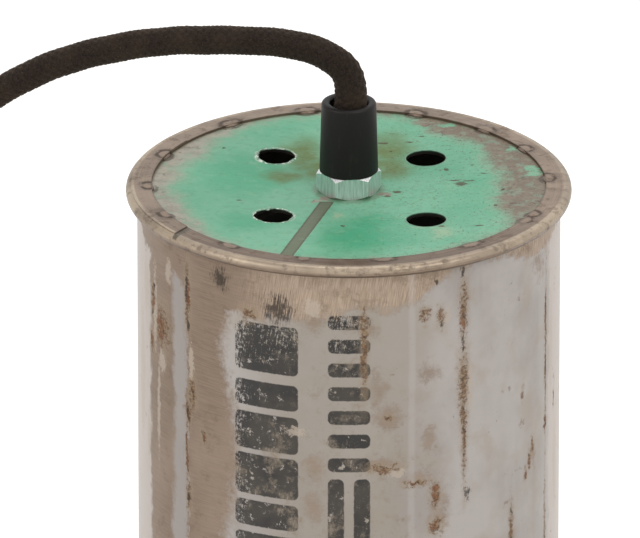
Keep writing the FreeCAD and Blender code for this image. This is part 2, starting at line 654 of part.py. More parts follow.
def ceiling_rose():
    """The rose on the flex's far end, standing on its open side in the coil."""
    x, y = COIL_CENTRE
    side, sheet_ = s.rose_diameter / 2, s.rose_sheet
    bore = side - sheet_
    edge, dome = s.rose_height - s.rose_shoulder, s.rose_shoulder
    hole = s.nipple_hole / 2
    cup = revolved("cup", [
        (bore, 0), (side, 0), (side, edge, dome), (side - dome, s.rose_height), (hole, s.rose_height),
        (hole, s.rose_height - sheet_), (side - dome, s.rose_height - sheet_, sheet_ - dome), (bore, edge)],
        x=x, y=y)
    sideways = (Vector(0, 1, 0), 90)
    shank, head = s.rose_screw / 2, s.rose_screw_head / 2
    holes = drum(shank, s.rose_diameter, x=x - side, y=y, z=s.rose_screw_level, turn=sideways)
    keep(without(cup, holes), "rose_cup")

    half = s.bracket_width / 2
    reach = root(bore * bore - half * half) - s.bracket_play
    plate = block(reach * 2, s.bracket_width, s.bracket_sheet, x=x - reach, y=-half + y)
    tabs = [block(s.bracket_sheet, s.bracket_width, s.bracket_tab, x=place + x, y=-half + y)
            for place in (-reach, reach - s.bracket_sheet)]
    cuts = [drum(shank, reach * 2, x=-reach + x, y=y, z=s.rose_screw_level, turn=sideways)]
    for way in (-1, 1):
        cuts.append(drum(s.ceiling_hole / 2, s.bracket_sheet, x=s.ceiling_spacing / 2 * way + x, y=y))
    keep(without(joined(plate, *tabs), *cuts), "rose_bracket")

    length = side - reach + s.bracket_sheet * 2
    screws = []
    for way, start in ((1, side - length), (-1, -side)):
        body = drum(shank - s.thread_play, length, x=start + x, y=y, z=s.rose_screw_level, turn=sideways)
        cap = drum(head, shank, x=(side if way > 0 else -side - shank) + x, y=y, z=s.rose_screw_level,
                   turn=sideways)
        screws.append(joined(body, cap))
    keep(grouped(*screws), "rose_screws")

    nut_foot = s.rose_height - sheet_ - s.inner_nut_height
    hex_nut("rose_nut", s.inner_nut_height, s.nut_chamfer / 2, x=x, y=y, z=nut_foot)
    threaded_nipple("rose_nipple", nut_foot - s.nipple_overrun, s.rose_height + s.nipple_reach, x=x, y=y)
    cord_grip("rose_grip", "rose_grip_screw", s.rose_height, x=x, y=y)

    box = block(s.block_length, s.block_width, s.block_height, x=-(s.block_length / 2) + x,
                y=-(s.block_width / 2) + y, z=s.bracket_sheet)
    top = s.bracket_sheet + s.block_height
    pitch = s.block_length / 3
    entries = [drum(s.core_diameter / 2 + s.thread_play, s.block_height / 2, x=pitch * way + x, y=y,
                    z=top - s.block_height / 2) for way in (-1, 0, 1)]
    keep(without(box, *entries), "terminal_block")

    sheath = nut_foot - s.nipple_overrun - s.sheath_overrun
    keep(drum(flex_radius, rose_cord_end - sheath, x=x, y=y, z=sheath), "rose_flex_tail")
    end, entry = number(sheath), number(top - s.block_height / 2) + 0.3
    for way, colour in ((-1, "brown"), (0, "earth"), (1, "blue")):
        shift = number(pitch) * way
        points = [(x + 1.9 * way, y, end), (x + 1.9 * way, y, end - 3)]
        if way:
            points.append((x + shift, y, number(top) + 3.4))
        points.append((x + shift, y, entry))
        if not way:
            points = [(x, y + 1.9, end), (x, y + 1.9, end - 3), (x, y, number(top) + 2.6), (x, y, entry)]
        flex(f"rose_core_{colour}", points, s.core_diameter)


core_place = s.terminal_place - s.terminal_length / 5
cord_start = grip_mouth_level - s.flex_hold
rose_cord_end = s.rose_height + s.grip_height - s.flex_hold


def cords():
    """The flex from the grip to the coil, and from the coil up into the rose."""
    low = number(s.tie_sheet + flex_radius)
    high = low + number(s.flex_diameter)
    outer = number(s.coil_diameter / 2 + flex_radius)
    inner = number(s.coil_diameter / 2 - flex_radius)
    start = number(cord_start)
    first = flex("cord", [
        (0, 0, start), (0, 0, 279), (-8, 0, 286.2), (-26, 0.2, 288.2), (-50, 0.4, 287.6),
        (-74, 0.6, 281.8), (-99, 1, 265.5), (-118, 1.4, 239), (-129, 3, 205), (-134, 6, 165),
        (-136, 12, 122), (-134, 21, 78), (-129, 33, 40), (-119, 49, 14), (-104, 68, 4), (-92, 90, 4.2),
        tuple(on_circle(outer, COIL_ENTRY, low, COIL_CENTRE))], s.flex_diameter)
    away = COIL_ENTRY - 360 * (COIL_TURNS - 3)
    climb = [(outer, 0, high), (outer, -30, high + 0.8), (43, -58, 23), (inner, -70, 44),
             (inner, -70, 67.1), (inner / 2, -70, 78.2), (0, 0, 67.1)]
    points = [tuple(on_circle(radius, away + turn, level, COIL_CENTRE)) for radius, turn, level in climb]
    points.append((*COIL_CENTRE, number(rose_cord_end)))
    last = flex("cord_end", points, s.flex_diameter)
    coiled = COIL_TURNS * math.pi * number(s.coil_diameter)
    print(f"flex: {first:.0f} + {coiled:.0f} coiled + {last:.0f} = {first + coiled + last:.0f}")


canister_shell()
end_ring()
end_disc()
hex_nut("gland_nut", s.nut_height, s.nut_chamfer, z=nut_foot, turn=(UP, 6))
cord_grip("cord_grip", "grip_screw", nut_top)
threaded_nipple("threaded_nipple", nipple_foot, nipple_top)
toothed_washer()
earth_tag()
hex_nut("inner_nut", s.inner_nut_height, s.nut_chamfer / 2, z=tag_under - s.inner_nut_height)
holder_cap()
holder_skirt()
holder_insert()
screw_shell()
centre_contact()
terminals()
lamp_flex_end()
bulb()
cords()
cord_coil()
ceiling_rose()

doc.recompute()
for thing in doc.Objects:
    if {"Invalid", "Error"} & set(thing.State):
        raise ValueError(f"{thing.Label} failed: {thing.State}")
for label, thing in nodes.items():
    if thing.Shape.isNull() or not thing.Shape.isValid() or not thing.Shape.Solids:
        raise ValueError(f"{label} has no valid solid")
os.makedirs("parts", exist_ok=True)
for label, thing in nodes.items():
    thing.Shape.exportStep(f"parts/{label}.step")
print(len(nodes), "nodes")
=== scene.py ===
"""A pendant lamp made from a re-used steel canister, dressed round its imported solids. Metres, +Z up."""

import math

import bpy
import numpy as np
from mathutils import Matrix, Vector


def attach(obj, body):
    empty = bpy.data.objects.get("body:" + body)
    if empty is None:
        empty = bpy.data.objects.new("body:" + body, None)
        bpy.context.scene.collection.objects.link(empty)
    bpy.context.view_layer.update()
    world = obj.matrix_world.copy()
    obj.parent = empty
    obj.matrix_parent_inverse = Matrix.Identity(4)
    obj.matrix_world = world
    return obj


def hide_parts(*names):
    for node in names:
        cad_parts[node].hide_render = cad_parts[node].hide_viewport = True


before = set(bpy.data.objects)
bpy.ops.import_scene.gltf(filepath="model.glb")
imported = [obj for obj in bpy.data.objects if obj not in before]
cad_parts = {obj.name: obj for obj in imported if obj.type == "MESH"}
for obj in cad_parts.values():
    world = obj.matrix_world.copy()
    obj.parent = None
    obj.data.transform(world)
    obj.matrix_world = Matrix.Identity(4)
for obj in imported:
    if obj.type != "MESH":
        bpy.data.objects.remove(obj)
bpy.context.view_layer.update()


# Studio: a pale sweep under and behind the lamp, large soft lights from the upper right, the upper left and
# above, and a long lens far away that looks down on the canister's closed end.

AIM = Vector((-0.0071, 0, 0.2271))
LOOK_DOWN = math.radians(22.55)
DISTANCE = 4.0
SEEN_WIDTH = 0.1582
WORLD_LEVEL = 0.55
SWEEP = 30
LIT_PLACE = Vector((0, 0, 0.15))
LIGHTS = (  # name, place, size, watts
    ("key", (1.2, -1.2, 1.6), 1.3, 14.5), ("fill", (-1.4, -0.9, 1.1), 1.2, 9.5),
    ("top", (0.2, 0.6, 2.0), 1.4, 9))
FLOOR_GLOW = 0.35

camera = bpy.data.objects.new("camera", bpy.data.cameras.new("camera"))
bpy.context.collection.objects.link(camera)
camera.data.lens = camera.data.sensor_width * DISTANCE / SEEN_WIDTH
towards = Vector((0, math.cos(LOOK_DOWN), -math.sin(LOOK_DOWN)))
camera.location = AIM - DISTANCE * towards
camera.rotation_euler = towards.to_track_quat("-Z", "Y").to_euler()
bpy.context.scene.camera = camera
bpy.context.scene.view_settings.view_transform = "Standard"


class Value:
    """A shader socket that takes part in Python sums. Each sum adds a Math node."""

    def __init__(self, finish, socket):
        self.finish = finish
        self.socket = socket

    def maths(self, operation, *values):
        return self.finish.node("Math", {"operation": operation}, dict(enumerate(values)))

    def __add__(self, other):
        return self.maths("ADD", self, other)

    def __sub__(self, other):
        return self.maths("SUBTRACT", self, other)

    def __rsub__(self, other):
        return self.maths("SUBTRACT", other, self)

    def __mul__(self, other):
        return self.maths("MULTIPLY", self, other)

    def __truediv__(self, other):
        return self.maths("DIVIDE", self, other)

    def __abs__(self):
        return self.maths("ABSOLUTE", self)

    def __or__(self, other):
        return self.maths("MAXIMUM", self, other)

    def __and__(self, other):
        return self.maths("MINIMUM", self, other)

    __radd__ = __add__
    __rmul__ = __mul__


class Finish:
    """A material and its nodes. Lengths inside it are millimetres in the lamp's own frame."""

    def __init__(self, name, **fixed):
        self.material = bpy.data.materials.new(name)
        self.material.use_nodes = True
        self.tree = self.material.node_tree
        self.tree.nodes.clear()
        self.output = self.tree.nodes.new("ShaderNodeOutputMaterial")
        self.shader = self.tree.nodes.new("ShaderNodeBsdfPrincipled")
        self.tree.links.new(self.shader.outputs[0], self.output.inputs[0])
        self.wear(**fixed)
        self.at = self.node("VectorMath", {"operation": "MULTIPLY"}, {
            0: self.node("TexCoord", {}, {}, "Object"), 1: (1000, 1000, 1000)})
        parts = {axis: self.node("SeparateXYZ", {}, {0: self.at}, axis) for axis in "XYZ"}
        self.x, self.y, self.z = parts["X"], parts["Y"], parts["Z"]

    def node(self, kind, settings, inputs, out=0):
        """Adds a node: first its settings, then the values or links of its sockets. Gives one output."""
        made = self.tree.nodes.new("ShaderNode" + kind)
        for name, setting in settings.items():
            if name == "stops":
                for stop in setting[2:]:
                    made.color_ramp.elements.new(stop[0])
                for element, (place, colour) in zip(made.color_ramp.elements, setting):
                    element.position, element.color = place, colour
            else:
                setattr(made, name, setting)
        for name, value in inputs.items():
            self.plug(made.inputs[name], value)
        return Value(self, made.outputs[out])

    def plug(self, socket, value):
        if isinstance(value, Value):
            self.tree.links.new(value.socket, socket)
        else:
            socket.default_value = value

    def wear(self, **sockets):
        """Sets the shader's sockets by name, with _ for a space."""
        for name, value in sockets.items():
            self.plug(self.shader.inputs[name.replace("_", " ")], value)

    def mix(self, mask, below, above):
        """A colour: below where mask is 0, above where it is 1. Sockets 6, 7 and 2 are the node's colours."""
        return self.node("Mix", {"data_type": "RGBA", "clamp_factor": True}, {0: mask, 6: below, 7: above},
                         2)

    def point(self, x, y, z):
        return self.node("CombineXYZ", {}, {"X": x, "Y": y, "Z": z})

    def from_axis(self):
        """The distance from the lamp's axis."""
        return self.node("VectorMath", {"operation": "LENGTH"}, {0: self.point(self.x, self.y, 0)}, "Value")

    def turned(self):
        """The angle round the lamp's axis, in radians to the right of the front."""
        return self.x.maths("ARCTAN2", self.x, 0 - self.y)

    def noise(self, size, at=None, detail=3, rough=0.55, stretch=(1, 1, 1), seed=0):
        """Soft noise from 0 to 1 with features of about size millimetres."""
        scale = tuple(1 / (size * s) for s in stretch)
        where = self.node("VectorMath", {"operation": "MULTIPLY_ADD"}, {
            0: at or self.at, 1: scale, 2: (seed * 7.3, seed * 3.1, seed * 5.7)})
        return self.node("TexNoise", {},
                         {"Vector": where, "Scale": 1, "Detail": detail, "Roughness": rough})

    def step(self, value, low, high):
        """0 below low, 1 above high, and smooth between."""
        return self.node("MapRange", {"interpolation_type": "SMOOTHSTEP"}, {
            "Value": value, "From Min": low, "From Max": high})

    def blotches(self, size, low, high, **kind):
        """Noise of such a size, sharpened to blotches: 0 where it is below low and 1 above high."""
        return self.step(self.noise(size, **kind), low, high)

    def band(self, value, low, high, soft):
        """1 between low and high, and 0 outside."""
        return self.step(value, low - soft, low + soft) & (1 - self.step(value, high - soft, high + soft))

    def profile(self, value, points):
        """The height of a broken line, drawn through (value, height) points."""
        (start, _), (end, _) = points[0], points[-1]
        low, high = min(p[1] for p in points), max(p[1] for p in points)
        stops = [((along - start) / (end - start), ((level - low) / (high - low),) * 3 + (1,))
                 for along, level in points]
        share = self.node("ValToRGB", {"stops": stops}, {0: (value - start) / (end - start)})
        return share * (high - low) + low

    def ragged(self, where, size, reach):
        """The same places, pushed about by noise, so that what is drawn there gets a ragged edge."""
        push = self.node("VectorMath", {"operation": "MULTIPLY_ADD"}, {
            0: self.node("TexNoise", {}, {
                "Vector": self.at, "Scale": 1 / size, "Detail": 5, "Roughness": 0.68}, "Color"),
            1: reach, 2: tuple(-r / 2 for r in reach)})
        return self.node("VectorMath", {"operation": "ADD"}, {0: where, 1: push})

    def marks(self, where, places):
        """How near the nearest oval mark is: 0 in its middle and 1 at its edge."""
        nearest = None
        for across, along, wide, high in places:
            to = self.node("VectorMath", {"operation": "MULTIPLY_ADD"}, {
                0: where, 1: (2 / wide, 2 / high, 0), 2: (-2 * across / wide, -2 * along / high, 0)})
            far = self.node("VectorMath", {"operation": "LENGTH"}, {0: to}, "Value")
            nearest = nearest & far if nearest else far
        return nearest

    def stamp(self, where, places, full, gone, rough=0):
        """1 on the marks out to full, 0 beyond gone, and fraying between where rough moves the edge."""
        return 1 - self.step(self.marks(where, places) + rough, full, gone)

    def bars(self, where, places):
        """How far the nearest upright bar is, in millimetres."""
        nearest = None
        for across, along, wide, high in places:
            side = self.node("VectorMath", {"operation": "SUBTRACT"}, {0: where, 1: (across, along, 0)})
            side = self.node("VectorMath", {"operation": "ABSOLUTE"}, {0: side})
            side = self.node("VectorMath", {"operation": "SUBTRACT"}, {0: side, 1: (wide / 2, high / 2, 1)})
            side = self.node("VectorMath", {"operation": "MAXIMUM"}, {0: side, 1: (0, 0, 0)})
            far = self.node("VectorMath", {"operation": "LENGTH"}, {0: side}, "Value")
            nearest = nearest & far if nearest else far
        return nearest

    def bump(self, height, millimetres):
        """Raises the surface by height times so many millimetres."""
        self.wear(Normal=self.node("Bump", {},
                                   {"Height": height, "Distance": millimetres / 1000, "Strength": 1}))

    def coat(self, *nodes):
        """Puts this finish on CAD nodes."""
        for name in nodes:
            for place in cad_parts[name].material_slots:
                place.material = self.material


def tint(code):
    """A linear colour from a painter's hexadecimal code."""
    parts = [int(code[i:i + 2], 16) / 255 for i in (0, 2, 4)]
    return tuple(p / 12.92 if p <= 0.04045 else ((p + 0.055) / 1.055) ** 2.4 for p in parts) + (1,)


def add_mesh(name, points, faces, finish):
    """Makes an object from arrays of points and faces."""
    mesh = bpy.data.meshes.new(name)
    mesh.from_pydata([tuple(p) for p in points], [], [tuple(f) for f in faces])
    mesh.validate()
    mesh.materials.append(finish.material)
    mesh.shade_smooth()
    made = bpy.data.objects.new(name, mesh)
    bpy.context.collection.objects.link(made)
    return made


def pale(finish, glow, lit):
    """White where it is looked at or mirrored, and lit as plain grey otherwise."""
    seen = [finish.node("LightPath", {}, {}, ray)
            for ray in ("Is Camera Ray", "Is Glossy Ray", "Is Transmission Ray")]
    return lit + (seen[0] | seen[1] | seen[2]) * (glow - lit)


world = bpy.data.worlds.new("studio")
world.use_nodes = True
bpy.context.scene.world = world
air = Finish.__new__(Finish)
air.tree = world.node_tree
background = air.tree.nodes["Background"]
background.inputs["Color"].default_value = (1, 1, 1, 1)
air.plug(background.inputs["Strength"], pale(air, 1.0, WORLD_LEVEL))

floor_finish = Finish("pale_sweep", Base_Color=tint("f4f3f1"), Roughness=0.9)
floor_finish.wear(Emission_Color=(1, 1, 1, 1), Emission_Strength=1)
floor_finish.wear(Emission_Color=floor_finish.mix(pale(floor_finish, FLOOR_GLOW, 0), (0, 0, 0, 1),
                                                  (1, 1, 1, 1)))
floor = add_mesh("floor", [(-SWEEP, -SWEEP, 0), (SWEEP, -SWEEP, 0), (SWEEP, SWEEP, 0), (-SWEEP, SWEEP, 0)],
                 [(0, 1, 2, 3)], floor_finish)

for name, place, size, power in LIGHTS:
    lamp = bpy.data.objects.new(name, bpy.data.lights.new(name, "AREA"))
    bpy.context.collection.objects.link(lamp)
    lamp.data.size = size
    lamp.data.energy = power
    lamp.location = place
    lamp.rotation_euler = (LIT_PLACE - lamp.location).to_track_quat("-Z", "Y").to_euler()
    lamp.visible_camera = False


# Flex: three cores in a round sleeve of braided dark brown cotton, 7 mm thick and 1.5 m long. It leaves the
# grip upright, falls to the left and back, and is wound into a tied coil behind the canister.

FLEX = 0.007
FLEX_START = (0, 0, 268.7)
FLEX_FALL = [
    (1.9, 0, 278.6), (-8, 0, 286.2), (-26, 0.2, 288.2), (-50, 0.4, 287.6), (-74, 0.6, 281.8),
    (-99, 1, 265.5), (-118, 1.4, 239), (-129, 3, 205), (-134, 6, 165), (-136, 12, 122), (-134, 21, 78),
    (-129, 33, 40), (-119, 49, 14), (-104, 68, 4), (-92, 90, 4.2)]
COIL_MIDDLE = (-40, 104)
COIL_ENTRY = 170
COIL_STEP = 18
COIL_SPAN = 1224
OUTER, INNER, LOW, HIGH = 45.5, 38.5, 4.7, 11.7
# where each winding starts to change its place in the coil's section, and the place that it then takes
COIL_SHIFTS = ((330, INNER, LOW), (660, INNER, HIGH), (990, OUTER, HIGH))
SHIFT_ANGLE = 30
FLEX_CLIMB = [(OUTER, 30, HIGH + 0.8), (43, 58, 23), (INNER, 70, 44), (INNER, 70, 67.1),
              (INNER / 2, 70, 78.2)]
FLEX_END = 44.9
COIL_CURVE = 0.98776  # how far a smooth line through a ring of such points runs inside them
LINE_PARTS = 24  # straight parts of the smooth line for each of its points


def by_coil(radius, degrees, level):
    angle = math.radians(COIL_ENTRY - degrees)
    return (COIL_MIDDLE[0] + radius * math.cos(angle), COIL_MIDDLE[1] + radius * math.sin(angle), level)


def coil_place(degrees):
    """The radius and level of the flex after so many degrees of winding."""
    radius, level = OUTER, LOW
    for start, new_radius, new_level in COIL_SHIFTS:
        part = min(max((degrees - start) / SHIFT_ANGLE, 0), 1)
        radius += (new_radius - radius) * part
        level += (new_level - level) * part
    return radius, level


flex_points = [FLEX_START, *FLEX_FALL]
for degrees in range(0, COIL_SPAN + 1, COIL_STEP):
    radius, level = coil_place(degrees)
    flex_points.append(by_coil(radius / COIL_CURVE, degrees, level))
flex_points += [by_coil(radius, COIL_SPAN + degrees, level) for radius, degrees, level in FLEX_CLIMB]
flex_points += [(*COIL_MIDDLE, 67.1), (*COIL_MIDDLE, FLEX_END)]


def smooth_line(points, step):
    """Evenly spaced points along the NURBS line of these control points, in metres."""
    curve = bpy.data.curves.new("line", "CURVE")
    curve.dimensions = "3D"
    spline = curve.splines.new("NURBS")
    spline.points.add(len(points) - 1)
    for place, point in zip(spline.points, points):
        place.co = (*[c / 1000 for c in point], 1)
    spline.order_u = 3
    spline.use_endpoint_u = True
    spline.resolution_u = LINE_PARTS
    line = bpy.data.objects.new("line", curve)
    mesh = bpy.data.meshes.new_from_object(line)
    found = np.array([v.co for v in mesh.vertices])
    bpy.data.objects.remove(line)
    along = np.concatenate([[0], np.cumsum(np.linalg.norm(np.diff(found, axis=0), axis=1))])
    places = np.linspace(0, along[-1], int(along[-1] / step) + 1)
    return np.stack([np.interp(places, along, found[:, i]) for i in range(3)], axis=1)


def frames_along(line):
    """For each point of a line, its direction and two directions across it that don't twist."""
    ahead = np.gradient(line, axis=0)
    ahead /= np.linalg.norm(ahead, axis=1)[:, None]
    across = np.zeros_like(line)
    first = np.array((0.0, 1.0, 0.0))
    for i, direction in enumerate(ahead):
        first = first - direction * first.dot(direction)
        first /= np.linalg.norm(first)
        across[i] = first
    return ahead, across, np.cross(ahead, across)


def tube_faces(rings, around):
    """Four-sided faces between rings of points, and a fan at each end."""
    ring, turn = np.meshgrid(np.arange(rings - 1), np.arange(around), indexing="ij")
    after = (turn + 1) % around
    sides = np.stack([ring * around + turn, ring * around + after, (ring + 1) * around + after,
                      (ring + 1) * around + turn], axis=-1).reshape(-1, 4)
    last = (rings - 1) * around
    return [tuple(f) for f in sides] + [tuple(range(around - 1, -1, -1)), tuple(range(last, last + around))]


CARRIERS = 9  # crossings round the sleeve
CROSSING = 0.0021  # along it
BRAID_DEPTH = 0.00042
AROUND = 45
BRAID_STEP = 0.00042
SWELL = 0.15  # how much wider the sleeve is where its cut end was pushed into the grip
SWELL_LENGTH = 0.016
LUMP = 0.00003
LUMPS = ((0.031, 1), (0.017, 2), (0.043, 0), (0.011, 3), (0.023, -2), (0.008, 1))  # length, waves round


def braid_height(turn, along):
    """The braid's relief: yarns of two hands that pass over and under each other in diamonds."""
    u, v = turn * CARRIERS + along / CROSSING, turn * CARRIERS - along / CROSSING
    over = (np.floor(u) + np.floor(v)) % 2
    a, b = 2 * (u % 1) - 1, 2 * (v % 1) - 1
    wide, long_ = np.where(over, a, b), np.where(over, b, a)
    return np.sqrt(np.clip(1 - wide ** 2, 0, 1)) * (1 - 0.55 * long_ ** 2)


flex_line = smooth_line(flex_points, BRAID_STEP)
ahead, across, upward = frames_along(flex_line)
turns = np.arange(AROUND) / AROUND
angles = 2 * np.pi * turns
places = np.arange(len(flex_line))[:, None] * BRAID_STEP
heights = braid_height(turns[None, :], places)
chance = np.random.default_rng(3)
lumps = sum(
    chance.normal() * LUMP
    * np.cos(2 * np.pi * (places / length + turns[None, :] * waves) + chance.uniform(0, 6.3))
    for length, waves in LUMPS)
swelling = 1 + SWELL * np.exp(-(places / SWELL_LENGTH) ** 2)
radii = (FLEX / 2 - BRAID_DEPTH * 0.7 + BRAID_DEPTH * heights + lumps) * swelling
sleeve = (flex_line[:, None, :] + radii[:, :, None] * (
    np.cos(angles)[None, :, None] * across[:, None, :] + np.sin(angles)[None, :, None]
    * upward[:, None, :]))

cotton = Finish("brown_cotton", Roughness=0.92, Sheen_Weight=0.5, Sheen_Roughness=0.5,
                Specular_IOR_Level=0.2)
yarn = cotton.noise(0.45, detail=4, rough=0.65)
worn = cotton.noise(7, detail=4, rough=0.6, seed=2)
lint = cotton.blotches(0.55, 0.66, 0.72, detail=3, rough=0.7, seed=5)
dyed = cotton.mix(cotton.step(yarn, 0.34, 0.68), tint("18120e"), tint("31261f"))
dyed = cotton.mix(cotton.step(worn, 0.45, 0.7) * 0.4, dyed, tint("3a3024"))
cotton.wear(Base_Color=cotton.mix(lint * 0.6, dyed, tint("6b5c4c")), Sheen_Tint=tint("8d7d70"))
cotton.bump(cotton.noise(0.25, detail=2), 0.12)
cord = add_mesh("flex_sleeve", sleeve.reshape(-1, 3), tube_faces(len(flex_line), AROUND), cotton)
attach(cord, "lamp")
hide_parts("cord", "cord_coil", "cord_end")

# Fibres: the cotton's loose ends, which stand out of the sleeve by up to a millimetre and lean along it.

FIBRES = 7000
FIBRE_REACH = 0.0011
FIBRE_THICK = 0.000035
FIBRE_POINTS = 7  # a three-sided root, a three-sided middle and a tip

chance = np.random.default_rng(7)
spots = chance.integers(4, len(flex_line) - 4, FIBRES)
around = chance.uniform(0, 2 * np.pi, FIBRES)
outward = np.cos(around)[:, None] * across[spots] + np.sin(around)[:, None] * upward[spots]
sideways = np.cross(ahead[spots], outward)
root = flex_line[spots] + outward * (FLEX / 2 - BRAID_DEPTH * 0.8)
lean = (ahead[spots] * chance.normal(0, 0.8, FIBRES)[:, None]
        + sideways * chance.normal(0, 0.8, FIBRES)[:, None])
reach = (chance.uniform(0.3, 1, FIBRES) ** 1.6 * FIBRE_REACH)[:, None]
middle = root + outward * (reach * 0.75 + BRAID_DEPTH * 0.5) + lean * reach * 0.5
tip = root + outward * (reach + BRAID_DEPTH * 0.3) + lean * reach * 1.3
corners = []
for ring_middle, thick in ((root, FIBRE_THICK), (middle, FIBRE_THICK * 0.8)):
    for degrees in (0, 120, 240):
        turn = math.radians(degrees)
        corners.append(ring_middle + thick * (math.cos(turn) * ahead[spots] + math.sin(turn) * sideways))
hair = np.stack([*corners, tip], axis=1)
hair[..., 2] = np.maximum(hair[..., 2], FIBRE_THICK)  # fibres under the coil lie on the floor
hair_faces = []
for first in range(0, FIBRES * FIBRE_POINTS, FIBRE_POINTS):
    for i, j in ((0, 1), (1, 2), (2, 0)):
        hair_faces.append((first + i, first + j, first + 3 + j, first + 3 + i))
        hair_faces.append((first + 3 + i, first + 3 + j, first + 6))
fuzz = add_mesh("flex_fibres", hair.reshape(-1, 3), hair_faces, cotton)
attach(fuzz, "lamp")


# Canister wall: drawn sheet steel with a grey-lilac lacquer, hemmed at its open end. Bare steel, rust and
# scratches show through where it was knocked and stored, and worn dark bars are left of its printing.
# Places on it are (millimetres to the right of the front, millimetres above the open end).

WALL_RADIUS = 52.25
WALL_INSIDE = 51.7
BARE_TOP = [  # how low the bare steel under the ring comes, all the way round
    (-164, 244), (-130, 239), (-100, 243), (-84, 241), (-74, 246), (-66, 240), (-56, 236), (-50, 239),
    (-44, 236.5), (-36, 235), (-26, 233.6), (-12, 235), (0, 237.6), (17, 238.6), (21, 243), (28, 246.2),
    (40, 246), (50, 244), (56, 241), (62, 240), (70, 245), (84, 244), (105, 240), (130, 243), (164, 244)]
BARE_RIGHT = [  # where the bare strip beside the seam ends on its right, by height
    (0, -39), (60, -36), (110, -30), (150, -33), (179, -31.5), (196, -28.5), (212, -31), (226, -33.5),
    (240, -29)]
BARE_MARKS = [
    (-9.5, 236, 8, 10), (-22, 237, 14, 9), (-39, 216, 5, 60), (-41, 190, 6, 40), (4, 233, 9, 6),
    (9, 209, 9, 6), (8.2, 196, 11, 6), (-8, 196, 7, 9), (20.3, 201.6, 5, 5), (20.5, 220, 6, 5),
    (58, 238, 9, 8), (55, 189, 3, 8), (17, 192, 10, 4), (23, 183, 6, 10), (7, 217, 5, 10),
    (-9, 186, 6, 8), (-6, 166, 12, 9), (34, 152, 9, 16), (96, 190, 16, 50), (-110, 120, 18, 70),
    (140, 90, 26, 40), (-145, 205, 20, 36), (112, 60, 12, 44), (10, 60, 16, 30)]
RUST_MARKS = [
    (-56, 222, 6.5, 9), (-45, 233, 1.9, 15), (-43.2, 209, 2.3, 8), (-44.8, 203, 1.8, 6),
    (-45.2, 193, 0.8, 18), (-44.6, 181, 1.6, 7), (-45, 160, 1.2, 26), (3.7, 227, 1.6, 19),
    (18.9, 235.3, 2.6, 3), (23.2, 234.4, 2, 4.6), (29.6, 234.5, 2.2, 14), (29.6, 214.5, 2.6, 17),
    (29.8, 204, 1.3, 24), (8.6, 195.6, 7, 2), (17, 190.8, 6, 1.2), (21.8, 187, 2.4, 6),
    (22, 178.5, 3.6, 4), (54.8, 190.5, 1.5, 4), (53.2, 187.3, 1.5, 4), (51.5, 184.2, 1.5, 3.4),
    (62, 222, 1.4, 12), (62, 208, 1.3, 9), (62, 194.5, 1.6, 5), (62.2, 212, 0.6, 44),
    (68.8, 198.5, 1.2, 4), (-61, 228, 2.6, 7), (-62, 216, 2, 5), (-25.5, 234, 3.6, 2.6),
    (-39.2, 198, 1.6, 3.4), (50, 206.5, 1, 3), (45.6, 170, 1.6, 14), (9.6, 209, 2, 2), (62, 150, 1.4, 50),
    (99, 205, 2.4, 46), (126, 215, 3, 30), (-96, 214, 2.2, 44), (-118, 226, 4, 16), (-150, 180, 2.6, 60),
    (152, 200, 3, 60), (88, 130, 1.6, 40)]
PALE_MARKS = [
    (-43.6, 216.5, 2, 10), (-9, 238, 5, 4), (-66, 230, 4, 16), (-70, 205, 5, 36), (-64.5, 190, 2.4, 16),
    (-13, 205, 6, 3), (31.6, 214, 1.6, 14), (25, 234, 2.4, 5), (12, 194, 5, 2.4), (66, 214, 3, 30),
    (-56, 213, 4, 6), (70, 180, 4, 26), (-60, 226, 2.4, 24), (-58, 200, 1.8, 26), (-53, 238, 3, 7)]
DARK_MARKS = [
    (-45.4, 236, 1.1, 9), (-44.8, 226, 1.2, 4.6), (-44.9, 203.6, 1.2, 3.8), (-44.6, 180.5, 1, 4),
    (-33.7, 241.7, 5, 6), (-17.6, 236.6, 8, 7.4), (21.9, 243.8, 1.2, 2.4), (29.2, 245.3, 1.3, 2.8),
    (29.3, 226, 1.1, 5), (30.9, 185.6, 1.8, 3.4), (45.8, 176.8, 1.1, 3.4), (61.9, 226, 0.9, 7),
    (61.9, 210.5, 0.8, 5), (61.9, 194.5, 1, 2.6), (-60.5, 231, 1.5, 2.6), (-61.5, 224, 1, 2),
    (23.4, 231.8, 1, 1.6)]
INK_CORNER = 1.4
INK_BARS = [(-21, level, 14, high) for level, high in (
    (226, 10), (213.6, 4), (203.6, 7), (192, 8), (181.6, 4), (170, 10), (158, 4), (148, 8), (134, 12))]
INK_BARS += [(0, 234.5 - 6.3 * i, 7.6, 0.9) for i in range(7)] + [(-3.2, 183, 1.2, 17), (3.2, 183, 1.2, 17)]
INK_BARS += [(0, 165.5 - 6.3 * i, 7.6, 0.9) for i in range(7)]
SEAM = -45.1
BARE_BAND = -63, -50.5
GREY_BAND = -54, -42
SIDE_HIGHLIGHT_BANDS = (-84, -62.5), (64.5, 78)
CREASE = 14.8, 16.4
HAIR_SLANT = 0.16
PRINTED_MOST_WORN = 23, 31  # to the left of the front
UNDER_RING_WORN = 216, 238

